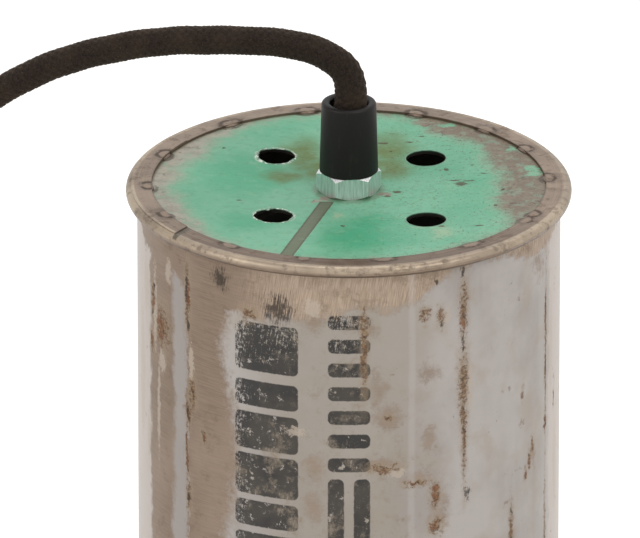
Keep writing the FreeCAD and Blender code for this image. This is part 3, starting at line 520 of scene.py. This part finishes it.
lacquer = Finish("worn_lacquer", Specular_IOR_Level=0.4)
round_wall = lacquer.turned() * WALL_RADIUS
flat_place = lacquer.point(round_wall, lacquer.z, 0)
torn = lacquer.ragged(flat_place, 7, (7, 11, 0))
torn_across = lacquer.node("SeparateXYZ", {}, {0: torn}, "X")
torn_up = lacquer.node("SeparateXYZ", {}, {0: torn}, "Y")
frayed = lacquer.ragged(flat_place, 2.2, (2.2, 7, 0))
grain = lacquer.noise(1.4, detail=5, rough=0.7)
cloud = lacquer.noise(26, detail=4, rough=0.6, seed=2)
wisps = lacquer.noise(5, detail=6, rough=0.75, seed=4)
brushed = lacquer.noise(0.2, stretch=(36, 36, 1), detail=3, rough=0.6)
hairs = lacquer.noise(0.24, at=lacquer.point(round_wall - lacquer.z * HAIR_SLANT, lacquer.z, 0),
                      stretch=(1, 22, 1), detail=4, rough=0.65)
crumbs = lacquer.noise(0.9, detail=4, rough=0.8, seed=17)
# the same noises about 0, which move an edge in and out
grit, drift, flutter, frizz, crumble = [noise - 0.5 for noise in (grain, cloud, wisps, hairs, crumbs)]

by_seam = lacquer.band(torn_across, *BARE_BAND, 1.2)
beside_seam = (
    lacquer.step(torn_across, SEAM - 0.3, SEAM + 0.7)
    & (1 - lacquer.step(torn_across - lacquer.profile(lacquer.z, BARE_RIGHT) + grit * 7, -2.6, 2.6)))
under_ring = lacquer.step(torn_up - lacquer.profile(round_wall, BARE_TOP) + grit * 5, -1.2, 1.2)
patches = lacquer.stamp(torn, BARE_MARKS, 0.1, 1.3, flutter * 3.4 + grit)
flakes = lacquer.step(wisps, 0.63, 0.67)
bare = by_seam | beside_seam | under_ring | patches * 0.7 | flakes * 0.55
near_rust = lacquer.marks(frayed, RUST_MARKS)
rust = 1 - lacquer.step(near_rust + grit * 3 + crumble * 2.6, 0.3, 1.25)
rust_edge = (1 - lacquer.step(near_rust + crumble * 5, 0.1, 0.9)) * lacquer.step(grain, 0.44, 0.6)
rust_halo = (1 - lacquer.step(near_rust + flutter * 3 + crumble * 2, 0.5, 2.3)) * 0.6
dark = lacquer.stamp(frayed, DARK_MARKS, 0.35, 1.15, grit * 2.2 + frizz * 3.4)
pale_marks = lacquer.stamp(frayed, PALE_MARKS, 0.6, 1.1, crumble * 2.4 + grit)
specks = lacquer.step(crumbs, 0.66, 0.7) * lacquer.step(wisps * 0.6 + cloud * 0.5, 0.5, 0.64)
smudges = lacquer.step(wisps, 0.5, 0.66) * lacquer.step(1 - abs(round_wall) / 60 + drift * 2.5, 0.5, 0.95)
ink = 1 - lacquer.step(lacquer.bars(lacquer.ragged(flat_place, 0.8, (0.5, 0.5, 0)), INK_BARS),
                       INK_CORNER - 0.15, INK_CORNER + 0.15)
chips = (lacquer.blotches(2.4, 0.6, 0.63, detail=6, rough=0.75, seed=8)
             | lacquer.step(hairs * 0.35 + wisps * 0.6, 0.56, 0.6) | lacquer.step(crumbs, 0.68, 0.72))
worn_most = lacquer.step(0 - round_wall, *PRINTED_MOST_WORN) * 0.13
worn_most = worn_most + lacquer.step(lacquer.z + drift * 30, *UNDER_RING_WORN) * 0.12
chips = chips | lacquer.step(hairs * 0.45 + crumbs * 0.55 + worn_most, 0.6, 0.66)
ink = ink * (1 - chips)
inner = 1 - lacquer.step(lacquer.from_axis(), WALL_INSIDE, WALL_INSIDE + 0.1)

coating = lacquer.mix(lacquer.step(cloud, 0.35, 0.68), tint("b0a9a4"), tint("9e9690"))
coating = lacquer.mix(lacquer.blotches(6, 0.4, 0.65, stretch=(1, 1, 9), seed=14) * 0.35, coating,
                      tint("b3ada9"))
coating = lacquer.mix(lacquer.blotches(9, 0.48, 0.7, detail=5, seed=5) * 0.45, coating, tint("9f927f"))
# Painted highlight: paler bands down the left and right sides of the wall, where it turns away from view.
side_highlight = lacquer.band(torn_across, *SIDE_HIGHLIGHT_BANDS[0], 1) | lacquer.band(torn_across, *SIDE_HIGHLIGHT_BANDS[1], 1)
coating = lacquer.mix(side_highlight * 0.75, coating, tint("c0b4ab"))
coating = lacquer.mix(lacquer.band(round_wall, *GREY_BAND, 1.5) * 0.8, coating, tint("9a918b"))
handled = 1 - lacquer.step(abs(round_wall + 2) + drift * 24, 12, 26)
coating = lacquer.mix(handled * 0.6, coating, tint("978d80"))
metal = lacquer.mix(lacquer.step(brushed, 0.3, 0.7), tint("7b6959"), tint("8c7968"))
metal = lacquer.mix(lacquer.step(cloud, 0.4, 0.7) * 0.5, metal, tint("9a8777"))
scraped = lacquer.mix(lacquer.step(hairs, 0.36, 0.62), tint("93806e"), tint("b5a18e"))
scraped = lacquer.mix(lacquer.step(cloud + flutter * 0.6, 0.48, 0.66) * 0.6, scraped, tint("8e7a66"))
metal = lacquer.mix(under_ring * lacquer.step(torn_across, -34, -14) * 0.9, metal, scraped)
metal = lacquer.mix(lacquer.step(wisps, 0.52, 0.68) * 0.5, metal, tint("6d5845"))
wall = lacquer.mix(bare, coating, metal)
wall = lacquer.mix(ink * 0.96, wall, lacquer.mix(lacquer.blotches(11, 0.42, 0.62, detail=3, seed=9),
                                                 tint("14110f"), tint("322d26")))
crease = lacquer.band(round_wall + drift * 0.6, *CREASE, 0.5)
wall = lacquer.mix(crease * (1 - ink) * 0.3, wall, tint("bab4b0"))
wall = lacquer.mix(smudges * 0.6, wall, tint("8f8170"))
wall = lacquer.mix(rust_halo, wall, tint("97846c"))
wall = lacquer.mix(pale_marks * 0.75, wall, tint("b3a596"))
wall = lacquer.mix(rust * 0.88, wall,
                   lacquer.mix(lacquer.step(crumbs, 0.42, 0.6), tint("64452f"), tint("937a5c")))
wall = lacquer.mix(rust * lacquer.step(wisps + drift * 0.5, 0.5, 0.62) * 0.6, wall, tint("7d4a2c"))
wall = lacquer.mix(rust_edge * 0.7, wall, tint("43311f"))
wall = lacquer.mix((dark | specks * 0.8) * 0.85, wall, tint("30271f"))
wall = lacquer.mix(inner, wall, lacquer.mix(lacquer.step(cloud, 0.3, 0.7), tint("8b867c"), tint("a29d93")))
steely = (bare | inner) * (1 - (rust | dark))
lacquer.wear(Base_Color=wall, Metallic=steely * 0.4,
             Roughness=0.4 + (bare | inner) * 0.08 + (rust | dark) * 0.3 - ink * 0.05)
seam_ridge = lacquer.band(torn_across, SEAM - 0.6, SEAM + 0.5, 0.3)
lacquer.bump((1 - bare) * 0.04 + rust * grain * 0.2 + brushed * steely * 0.008 + seam_ridge * grain * 0.3
             + cloud * 0.3, 1)
lacquer.coat("canister_shell")


# Rolled ring: bare steel strip, folded over the canister's flange and lapped at the front left. Fifteen tacks
# hold the disc under it. Places on it are (millimetres round from the front, millimetres from the middle).

TACK_CIRCLE = 48.7
TACKS = (4.5, 27.7, 46.4, 70, 102, 126.6, 157.7, 182.4, 204.4, 233.8, 257.2, 279.6, 307.2, 331.3, 336.4)
TACK_LENGTHS = (5, 4.6, 5.6, 5, 5.4, 6, 5, 4.6, 5.2, 5.4, 3.6, 6, 6.4, 4.6, 4.2)
RIM_RADIUS = 55
LAP_END, LAP_SLANT = 218, 18
LAP_SHADE_WIDTH = 1.5
TOP_FACE = 248.9, 249.4  # heights
SHOULDER_HEIGHT = 248.3, 248.8
SHOULDER = 52.7, 53.2
ROLL = 52.6, 53
ROLL_HEIGHT = 247.6, 248.3
UNDERSIDE_SHADE_HEIGHTS = 247.2, 248.2

steel = Finish("stained_steel", Anisotropic=0.3)
from_middle = steel.from_axis()
round_ring = steel.turned() * TACK_CIRCLE
ring_place = steel.ragged(steel.point(round_ring, from_middle, 0), 1.6, (1.6, 1.6, 0))
tack_places = [(((degrees + 270) % 360 - 180) * math.pi / 180 * TACK_CIRCLE, TACK_CIRCLE + 0.6, length, 3.7)
               for degrees, length in zip(TACKS, TACK_LENGTHS)]
tacks = steel.marks(ring_place, tack_places)
grain = steel.noise(1.3, detail=5, rough=0.7)
grit = grain - 0.5
cloud = steel.noise(13, detail=5, rough=0.6)
lines = steel.noise(0.35, at=steel.point(round_ring, from_middle, steel.z), stretch=(40, 1, 1), detail=2)
top = steel.step(steel.z, *TOP_FACE)
crescent = steel.band(tacks, 0.72, 1.2, 0.16) * steel.blotches(2.6, 0.4, 0.52, detail=4, seed=3) * top
halo = (1 - steel.step(tacks + grit * 2, 0.8, 2)) * top
face = (1 - steel.step(tacks, 0.55, 0.9)) * top
corner = math.radians(LAP_END)
cut = math.radians(LAP_END + LAP_SLANT)
past_lap = (steel.x - RIM_RADIUS * math.cos(corner)) * -math.sin(cut) + (
    steel.y - RIM_RADIUS * math.sin(corner)) * math.cos(cut)
near_lap = steel.band(steel.x, -50, -24, 0.5) * steel.band(steel.y, -46, -20, 0.5)
lap_step_shade = steel.band(past_lap + grit * 1.2, -0.1, LAP_SHADE_WIDTH, 0.25) * near_lap * top
inner_edge_shade = 1 - steel.step(from_middle + grit * 0.8, TACK_CIRCLE, TACK_CIRCLE + 0.35)
stains = steel.blotches(3.2, 0.52, 0.64, detail=6, rough=0.72, seed=5)
underside_shade = 1 - steel.step(steel.z, *UNDERSIDE_SHADE_HEIGHTS)
strip = steel.mix(steel.step(cloud, 0.34, 0.66), tint("93806f"), tint("7d6b5b"))
# Painted shade: the ring's top face is made darker towards the front.
strip = steel.mix(steel.step(0 - steel.y, 12, 40) * top * 0.85, strip, tint("604b39"))
smears = steel.blotches(7, 0.5, 0.66, stretch=(2.5, 1, 1), detail=6, rough=0.7, seed=8)
# Painted highlight: a pale line along the rounded outer shoulder of the ring's top.
shoulder_highlight = steel.step(from_middle + grit * 0.5, *SHOULDER) * steel.step(steel.z, *SHOULDER_HEIGHT)
strip = steel.mix(shoulder_highlight * 0.85, strip,
                  steel.mix(steel.step(cloud, 0.4, 0.6), tint("b8a892"), tint("9c8d7b")))
# Painted shade: dark brown under the rolled outer edge of the ring.
roll_shade = (1 - steel.step(steel.z + grit * 0.4, *ROLL_HEIGHT)) * steel.step(from_middle, *ROLL)
strip = steel.mix(roll_shade * 0.85, strip, tint("4a3c2a"))
strip = steel.mix(smears * 0.55, strip, tint("655340"))
strip = steel.mix(steel.step(lines, 0.4, 0.7) * 0.35, strip, tint("a3907e"))
strip = steel.mix(halo * 0.6, strip, tint("57483b"))
strip = steel.mix(face * 0.75, strip, tint("927f6e"))
# Real stains, and painted shade on the ring's lower faces, in one darker brown.
strip = steel.mix((stains * 0.6 | underside_shade * 0.35) * 0.8, strip, tint("59493b"))
# Real dark weld crescents at the tacks, and painted shade along the ring's inner edge.
strip = steel.mix((crescent | inner_edge_shade * 0.5) * 0.85, strip, tint("3f2f22"))
# Painted shade: a dark band beside the step where the lapped end of the strip stands up.
strip = steel.mix(lap_step_shade * 0.85, strip, tint("4a4233"))
steel.wear(Base_Color=strip, Metallic=0.55 - (crescent | stains | lap_step_shade) * 0.4,
           Roughness=0.36 + (stains | crescent) * 0.25 + halo * 0.05)
steel.bump(lines * 0.02 + grain * 0.02 + (1 - crescent) * 0.1 + cloud * 0.1, 1)
steel.coat("end_ring")


# End disc: steel sheet with worn green paint and four drilled vent holes. The paint is gone along the ring on
# the left and right, under a strip of tape at the front, and where the drill and the nut scraped it.

PAINT_EDGE = [  # (degrees to the right of the front, how far out the paint reaches)
    (-180, 47.8), (-160, 47.4), (-148, 46.6), (-140, 45), (-128, 43.6), (-118, 41.8), (-110, 43.4),
    (-100, 42), (-93, 42.6), (-86, 44.6), (-80, 43.2), (-70, 42.6), (-60, 44.5), (-50, 46.6), (-30, 48.6),
    (30, 48.6), (54, 47.6), (61, 45), (67, 40.6), (80, 36.6), (92, 37.6), (104, 38.8), (114, 38.2),
    (122, 39.6), (130, 43.2), (138, 41.5), (146, 41), (152, 41.4), (158, 47), (180, 47.8)]
DISC_BARE = [
    (19.5, 41.4, 7, 3.4), (25, 35.6, 6.4, 5), (30, 33, 6, 5), (-9, -8, 3.4, 2), (-5.8, -6.2, 5, 3),
    (9.4, -3, 4, 3.4)]
DISC_PAINT = [(24.5, 39.6, 4.6, 3), (46, 8, 3.6, 3.6), (45.5, 11, 3, 4), (40, 24, 3, 2.4)]
STAINS = [(-11, 22, 9, 17), (-8, 13, 9, 12), (10, 25, 10, 17), (10, 14, 9, 12), (-16, 8, 8, 7)]
SPOTS = [
    (8.4, 29, 2.6, 1.6), (10.5, 24, 1.8, 1.4), (27.6, 2.4, 3.6, 3.4), (29.6, 4.4, 3, 0.9),
    (26, 5, 4.5, 1), (22.9, -25.3, 2.6, 1.5), (32, -25.4, 3.4, 1.3), (12, -1.6, 3, 2),
    (9.6, -4.4, 2.4, 1.6), (14.6, 29.5, 2.4, 0.9), (-27, -8, 2.4, 0.8), (-1.6, -24.4, 1.2, 1.2),
    (19.5, 20, 0.9, 1), (30.5, 14.6, 1, 1), (-31, 25, 1, 1.4), (36, -12, 1.4, 1), (24, 12, 1.2, 2.4),
    (33.5, 9, 2.2, 0.8), (18, 33, 2.4, 1), (38, -2, 1, 2.4)]
CREAM = [(23, -29, 6, 9), (18.6, -25, 5, 4), (-3, -17, 3, 4)]
DEEP = [(3, -33, 26, 17), (-26, 8, 22, 30), (6, -22, 16, 12), (-24, -22, 16, 12)]
STRIP_TOP, STRIP_SLOPE, STRIP_START = -5.4, 0.268, -8
DISC_LEVEL, DISH, DISH_START, DISH_END = 248.3, 1.2, 12, 51.25
RIM_STEP_SHADE_RADII = 47.9, 48.8
NUT_FOOT_SHADE_RADII = 8.2, 9.8
TAPE_SIDE = 1.7, 1.9
LEFT_TO_RIGHT = -10, 10  # where the bright torn edges of the left vents give way to plain ones
VENT_CIRCLE = 27.2
VENT_RADIUS = 5
VENTS = ((45.3, 1), (131.3, 1.01), (224.2, 0.95), (312.5, 1.03))

vent_places = []
for degrees, share in VENTS:
    turn = math.radians(degrees)
    vent_places.append((VENT_CIRCLE * share * math.cos(turn), VENT_CIRCLE * share * math.sin(turn)))
green = Finish("worn_green", Specular_IOR_Level=0.35)
flat_place = green.point(green.x, green.y, 0)
from_middle = green.from_axis()
turned = green.turned() * (180 / math.pi)
torn = green.ragged(flat_place, 6, (8, 8, 0))
frayed = green.ragged(flat_place, 2, (2.4, 2.4, 0))
grain = green.noise(1, detail=5, rough=0.7)
cloud = green.noise(16, detail=4, rough=0.55)
wisps = green.noise(4, detail=6, rough=0.72, seed=4)
grit, flutter = grain - 0.5, wisps - 0.5
tearing = (green.noise(7, detail=6, rough=0.7, seed=2) - 0.5) * 14
inside_edge = green.profile(turned, PAINT_EDGE) - from_middle + tearing * 0.75
painted = green.step(inside_edge + grit * 6 + flutter * 5, -3, 2.6)
scraped = green.stamp(torn, DISC_BARE, 0.5, 1.2, (grit + flutter) * 2)
islands = green.stamp(torn, DISC_PAINT, 0.6, 1.2, grit * 2 + flutter)
beside_tape = abs(green.x - STRIP_TOP - (green.y - STRIP_START) * STRIP_SLOPE + grit * 0.5)
beside_tape = beside_tape | (green.y - STRIP_START + 1.6)
tape = 1 - green.step(beside_tape, *TAPE_SIDE)
lead = green.step(wisps, 0.63, 0.72) * 0.5
painted = (painted * (1 - scraped) | islands) * (1 - tape)
vents = green.marks(flat_place, [(x, y, 2 * VENT_RADIUS, 2 * VENT_RADIUS) for x, y in vent_places])
burred = green.step(wisps - green.step(green.x, *LEFT_TO_RIGHT) * 0.1, 0.47, 0.58)
burred = (1 - green.step(vents + grit * 0.2, 1.05, 1.15)) * burred
# Painted shade: brown round the foot of the nut, and along the disc's edge at the foot of the ring's step.
nut_foot_shade = 1 - green.step(from_middle + grit * 3, *NUT_FOOT_SHADE_RADII)
rim_step_shade = green.step(from_middle + grit * 1.4, *RIM_STEP_SHADE_RADII)
stained = green.stamp(torn, STAINS, 0.3, 1.9)
tack_round = green.point(green.turned() * TACK_CIRCLE, from_middle, 0)
tacks = green.marks(green.ragged(tack_round, 1.6, (1.6, 1.6, 0)), tack_places)
crescent = green.band(tacks, 0.74, 1.24, 0.16) * green.blotches(3.4, 0.36, 0.5, detail=3, seed=3)
spots = green.stamp(frayed, SPOTS, 0.45, 1.05, grit * 1.8 + flutter)
pins = (green.blotches(0.8, 0.58, 0.63, detail=4, rough=0.75, seed=7)
        * green.step(green.x + wisps * 60, 12, 50))
scuffs = green.blotches(0.5, 0.6, 0.68, stretch=(9, 1, 1), detail=4, rough=0.7, seed=11)

paint = green.mix(green.step(cloud, 0.35, 0.65), tint("59a682"), tint("6cae8c"))
paint = green.mix(green.stamp(torn, DEEP, 0.4, 1.3) * 0.85, paint, tint("3b9f75"))
paint = green.mix(green.step(wisps, 0.5, 0.72) * 0.4, paint, tint("86b596"))
paint = green.mix(green.blotches(2.4, 0.5, 0.64, detail=6, rough=0.78, seed=19) * 0.5, paint,
                  tint("4d8f6c"))
cream = green.stamp(torn, CREAM, 0.2, 1.5, flutter * 3)
paint = green.mix(cream * 0.6, paint, tint("a3b592"))
paint = green.mix((1 - green.step(inside_edge, 0.5, 5)) * green.step(grain, 0.4, 0.6) * 0.7, paint,
                  tint("8ba388"))
paint = green.mix(stained * (0.75 + green.step(wisps, 0.4, 0.6) * 0.2), paint, tint("566a27"))
metal = green.mix(green.step(green.x, -10, 24), tint("a59f90"), tint("7f7261"))
metal = green.mix(green.step(wisps, 0.42, 0.62) * 0.65, metal,
                  green.mix(green.step(green.x, -10, 20), tint("84806f"), tint("6b5f50")))
metal = green.mix(green.blotches(2.2, 0.5, 0.62, detail=5, seed=13) * 0.45, metal, tint("84a08a"))
metal = green.mix(green.blotches(3, 0.56, 0.66, detail=6, rough=0.75, seed=15) * 0.7, metal, tint("54463a"))
metal = green.mix(tape, metal, green.mix(green.step(beside_tape, 1, 1.6), tint("646d55"), tint("4f5642")))
sheet = green.mix(painted * (1 - lead * 0.4), metal, paint)
sheet = green.mix(scuffs * 0.4, sheet, tint("94a68c"))
# Painted shade round the nut's foot and at the foot of the ring's step.
sheet = green.mix((nut_foot_shade * 0.5 | rim_step_shade * 0.65) * 0.9, sheet, tint("57472f"))
sheet = green.mix(crescent * 0.8, sheet, tint("43372c"))
sheet = green.mix(burred * 0.6, sheet, tint("c5cfc0"))
sheet = green.mix((spots | pins * 0.8) * 0.85, sheet, tint("4a3220"))
dished = (((from_middle - DISH_START) / (DISH_END - DISH_START)) | 0) * DISH
upper = green.step(green.z - dished, DISC_LEVEL - 0.6, DISC_LEVEL - 0.4)
sheet = green.mix(upper, green.mix(green.step(wisps, 0.4, 0.65), tint("8f897d"), tint("6f665a")), sheet)
below_face = 1 - green.step(green.z - dished, DISC_LEVEL - 0.25, DISC_LEVEL - 0.1)
# Painted shade: the walls of the vent holes, below the disc's top face, are made nearly black.
vent_wall_shade = (1 - green.step(vents, 1.005, 1.02)) & below_face
sheet = green.mix(vent_wall_shade * 0.92, sheet, tint("17120f"))
green.wear(Base_Color=sheet, Metallic=(1 - painted * upper) * 0.3 | burred * 0.5,
           Roughness=0.45 - painted * 0.05 + (spots | stained * 0.3) * 0.2)
green.bump(painted * 0.05 + grain * 0.02 + cloud * 0.5 - spots * 0.05, 1)
green.coat("end_disc")


# Vent burrs: the drill's torn edge, turned up round each vent. It is ragged and bright round the two vents on
# the left, and hardly more than a scratch round the others. Heights and overhangs are millimetres.

BURR_STEPS = 96
BURRS = ((0.15, 0.3, 90), (0.6, 1.9, 150), (0.5, 1.7, 120), (0.12, 0.2, 200))  # height, overhang, worst side

torn_steel = Finish("torn_steel", Specular_IOR_Level=0.5)
grain = torn_steel.noise(0.7, detail=4, rough=0.7)
bright = torn_steel.step(grain - torn_steel.step(torn_steel.x, *LEFT_TO_RIGHT) * 0.14, 0.48, 0.6)
torn_steel.wear(Base_Color=torn_steel.mix(bright, tint("6f9c80"), tint("dfe2d6")),
                Metallic=bright * 0.5, Roughness=0.3 + grain * 0.25)
torn_steel.bump(grain * 0.08, 1)


def wander(chance, steps, waves):
    """A closed random line from 0 to 1, made of so many waves."""
    turn = np.arange(steps) * 2 * np.pi / steps
    line = sum(chance.normal() / wave ** 0.55 * np.cos(wave * turn + chance.uniform(0, 6.3))
               for wave in waves)
    return (line - line.min()) / (line.max() - line.min())


chance = np.random.default_rng(11)
for (x, y), (height, overhang, worst), (degrees, _) in zip(vent_places, BURRS, VENTS):
    turn = np.arange(BURR_STEPS) * 2 * np.pi / BURR_STEPS
    side = 0.3 + 0.7 * np.clip(np.cos(turn - math.radians(worst)), 0, 1)
    lift = 0.05 + height * side * wander(chance, BURR_STEPS, range(2, 30))
    lean = 0.04 + overhang * side * wander(chance, BURR_STEPS, range(3, 26)) ** 1.3
    rings = []  # from the paint up over the torn crest and down into the vent
    for radius, level in ((VENT_RADIUS + 0.25, -0.15), (VENT_RADIUS + 0.2, 0.03),
                          (VENT_RADIUS - lean * 0.3, lift),
                          (VENT_RADIUS - lean, lift * 0.5), (VENT_RADIUS - lean * 0.8, lift * 0.3 - 0.12),
                          (VENT_RADIUS + 0.02, -0.3)):
        across_x, across_y = x + radius * np.cos(turn), y + radius * np.sin(turn)
        dished = np.clip((np.hypot(across_x, across_y) - DISH_START) / (DISH_END - DISH_START), 0, 1) * DISH
        rings.append(np.stack([across_x, across_y, DISC_LEVEL + dished + level], axis=1) / 1000)
    points = np.concatenate(rings)
    count = len(rings)
    faces = [(j * BURR_STEPS + i, j * BURR_STEPS + (i + 1) % BURR_STEPS,
              (j + 1) % count * BURR_STEPS + (i + 1) % BURR_STEPS, (j + 1) % count * BURR_STEPS + i)
             for j in range(count) for i in range(BURR_STEPS)]
    burr = add_mesh(f"vent_burr_{degrees:.0f}", points, faces, torn_steel)
    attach(burr, "lamp")


# Thread, nuts and washers: zinc plated steel, turned from bar or stamped. The big nut on the disc clamps the
# nipple, and the rose has its own nipple, nut, bracket and screws.

zinc = Finish("zinc", Metallic=0.9)
drawn = zinc.noise(0.5, stretch=(1, 1, 12), detail=4, rough=0.65)
dull = zinc.noise(3, detail=4, seed=2)
zinc.wear(Base_Color=zinc.mix(zinc.step(drawn, 0.3, 0.68), tint("c2c3c0"), tint("eceded")),
          Roughness=0.22 + dull * 0.24)
zinc.bump(drawn * 0.03, 1)
zinc.coat("gland_nut", "inner_nut", "toothed_washer", "earth_tag", "threaded_nipple", "rose_bracket",
          "rose_screws", "rose_nut", "rose_nipple")


# Cord grips: moulded black nylon barrels, screwed on the lamp's and the rose's nipples. A blackened grub
# screw in the side of each holds the flex.

nylon = Finish("black_nylon", Specular_IOR_Level=0.22)
moulded = nylon.noise(0.25, detail=3)
scuffed = nylon.blotches(1.6, 0.58, 0.72, stretch=(1, 1, 4), detail=5, rough=0.7)
nylon.wear(Base_Color=nylon.mix(scuffed * 0.5, tint("151210"), tint("2d2924")),
           Roughness=0.46 + scuffed * 0.15)
nylon.bump(moulded * 0.02, 1)
nylon.coat("cord_grip", "rose_grip")
blackened = Finish("blackened_steel", Metallic=0.8)
oiled = blackened.noise(1, detail=4)
blackened.wear(Base_Color=blackened.mix(oiled, tint("26262a"), tint("4a4846")),
               Roughness=0.32 + oiled * 0.2)
blackened.bump(oiled * 0.03, 1)
blackened.coat("grip_screw", "rose_grip_screw")


# Lampholder: a cap and skirt moulded from black phenolic resin and screwed together, with a glazed insert
# that carries the brass screw shell, the contact and the terminals.

phenolic = Finish("black_phenolic", Coat_Roughness=0.12)
flow = phenolic.noise(7, detail=5, rough=0.65)
handled = phenolic.noise(2.2, detail=5, rough=0.7, seed=2)
phenolic.wear(Base_Color=phenolic.mix(phenolic.step(flow, 0.4, 0.7), tint("15120f"), tint("2b241d")),
              Roughness=0.2 + phenolic.step(handled, 0.45, 0.7) * 0.25, Coat_Weight=0.25 - handled * 0.2)
phenolic.bump(handled * 0.03, 1)
phenolic.coat("holder_cap", "holder_skirt")

ceramic = Finish("glazed_ceramic", Coat_Weight=0.6, Coat_Roughness=0.05)
pooled = ceramic.noise(5, detail=3)
ceramic.wear(Base_Color=ceramic.mix(ceramic.step(pooled, 0.35, 0.7), tint("e9e5da"), tint("d8d2c3")),
             Roughness=0.16 + pooled * 0.12)
ceramic.bump(pooled * 0.08, 1)
ceramic.coat("holder_insert")

brass = Finish("brass", Metallic=1)
spun = brass.noise(0.2, stretch=(14, 14, 1), detail=3)
tarnish = brass.blotches(4, 0.45, 0.7, detail=5, rough=0.65)
brass.wear(Base_Color=brass.mix(tarnish * 0.7, tint("cda85f"), tint("8d6c3a")),
           Roughness=0.2 + tarnish * 0.25)
brass.bump(spun * 0.03, 1)
brass.coat("screw_shell", "centre_contact", "terminal_blocks", "terminal_screws")


# Cores: brown, blue and green-yellow plastic insulation over stranded copper, ending in their terminals. The
# stripe of the earth core runs along it.

for name, code, other in (("brown", "6b3e22", "59331b"), ("blue", "2f5fa8", "284f8d"),
                          ("earth", "6f9c2c", "c9b52c")):
    core = Finish(f"{name}_core_plastic", Specular_IOR_Level=0.4)
    skin = core.noise(0.8, detail=3)
    striped = core.blotches(0.9, 0.48, 0.52, stretch=(1, 1, 30), detail=0)
    core.wear(Base_Color=core.mix(striped if name == "earth" else skin, tint(code), tint(other)),
              Roughness=0.34 + skin * 0.2)
    core.bump(skin * 0.03, 1)
    core.coat(f"core_{name}", f"rose_core_{name}")
cotton.coat("flex_tail", "rose_flex_tail")


# Bulb: a clear blown globe with four filament rods on a glass stem, cemented into a rolled aluminium cap
# with a black glass insulator and a soldered tip.

glass = Finish("bulb_clear", Transmission_Weight=1, IOR=1.45)
ripple = glass.noise(9, detail=2)
glass.wear(Base_Color=glass.mix(ripple, tint("ffffff"), tint("f3f6f4")), Roughness=0.008 + ripple * 0.02)
glass.bump(ripple * 0.05, 1)
glass.coat("bulb_glass", "bulb_stem")

aluminium = Finish("rolled_aluminium", Metallic=1)
rolled = aluminium.noise(0.25, stretch=(12, 12, 1), detail=3)
rubbed = aluminium.noise(2.5, detail=5, rough=0.65)
aluminium.wear(Base_Color=aluminium.mix(aluminium.step(rubbed, 0.4, 0.7), tint("d3d3d1"), tint("b3b2ae")),
               Roughness=0.2 + rubbed * 0.25)
aluminium.bump(rolled * 0.04, 1)
aluminium.coat("bulb_cap", "bulb_tip")

cap_glass = Finish("black_cap_glass", Specular_IOR_Level=0.6)
poured = cap_glass.noise(3, detail=3)
cap_glass.wear(Base_Color=cap_glass.mix(poured, tint("101014"), tint("1e1c20")),
               Roughness=0.08 + poured * 0.12)
cap_glass.bump(poured * 0.06, 1)
cap_glass.coat("bulb_insulator")

phosphor = Finish("phosphor", Specular_IOR_Level=0.4)
beaded = phosphor.noise(0.8, detail=2)
phosphor.wear(Base_Color=phosphor.mix(phosphor.step(beaded, 0.35, 0.65), tint("d9a52a"), tint("ecc250")),
              Roughness=0.55 + beaded * 0.2)
phosphor.bump(beaded * 0.1, 1)
phosphor.coat("bulb_filaments")


# Ceiling rose and tie: a spun steel cup in black enamel, the white terminal block inside it, and the woven
# strap that holds the wound flex together.

enamel = Finish("black_enamel", Coat_Roughness=0.15, Coat_Weight=0.15)
orange_peel = enamel.noise(1.6, detail=3)
dusty = enamel.blotches(12, 0.45, 0.75, detail=5, rough=0.6, seed=2)
enamel.wear(Base_Color=enamel.mix(dusty * 0.6, tint("151515"), tint("2a2928")),
            Roughness=0.28 + dusty * 0.2)
enamel.bump(orange_peel * 0.05, 1)
enamel.coat("rose_cup")

white = Finish("white_plastic", Specular_IOR_Level=0.45)
skin = white.noise(2, detail=4)
white.wear(Base_Color=white.mix(white.step(skin, 0.4, 0.7), tint("e8e8e2"), tint("dcdad0")),
           Roughness=0.38 + skin * 0.2)
white.bump(skin * 0.03, 1)
white.coat("terminal_block")

strap = Finish("woven_strap", Sheen_Weight=0.2, Sheen_Roughness=0.5)
warp = strap.node("TexWave", {"bands_direction": "Z"}, {"Vector": strap.at, "Scale": 0.9}, "Fac")
weft = strap.node("TexWave", {"bands_direction": "DIAGONAL"}, {"Vector": strap.at, "Scale": 0.5}, "Fac")
strap.wear(Base_Color=strap.mix(warp * weft, tint("17171a"), tint("34343a")), Roughness=0.75 + warp * 0.2)
strap.bump(warp * 0.1 + weft * 0.1, 1)
strap.coat("cord_tie")
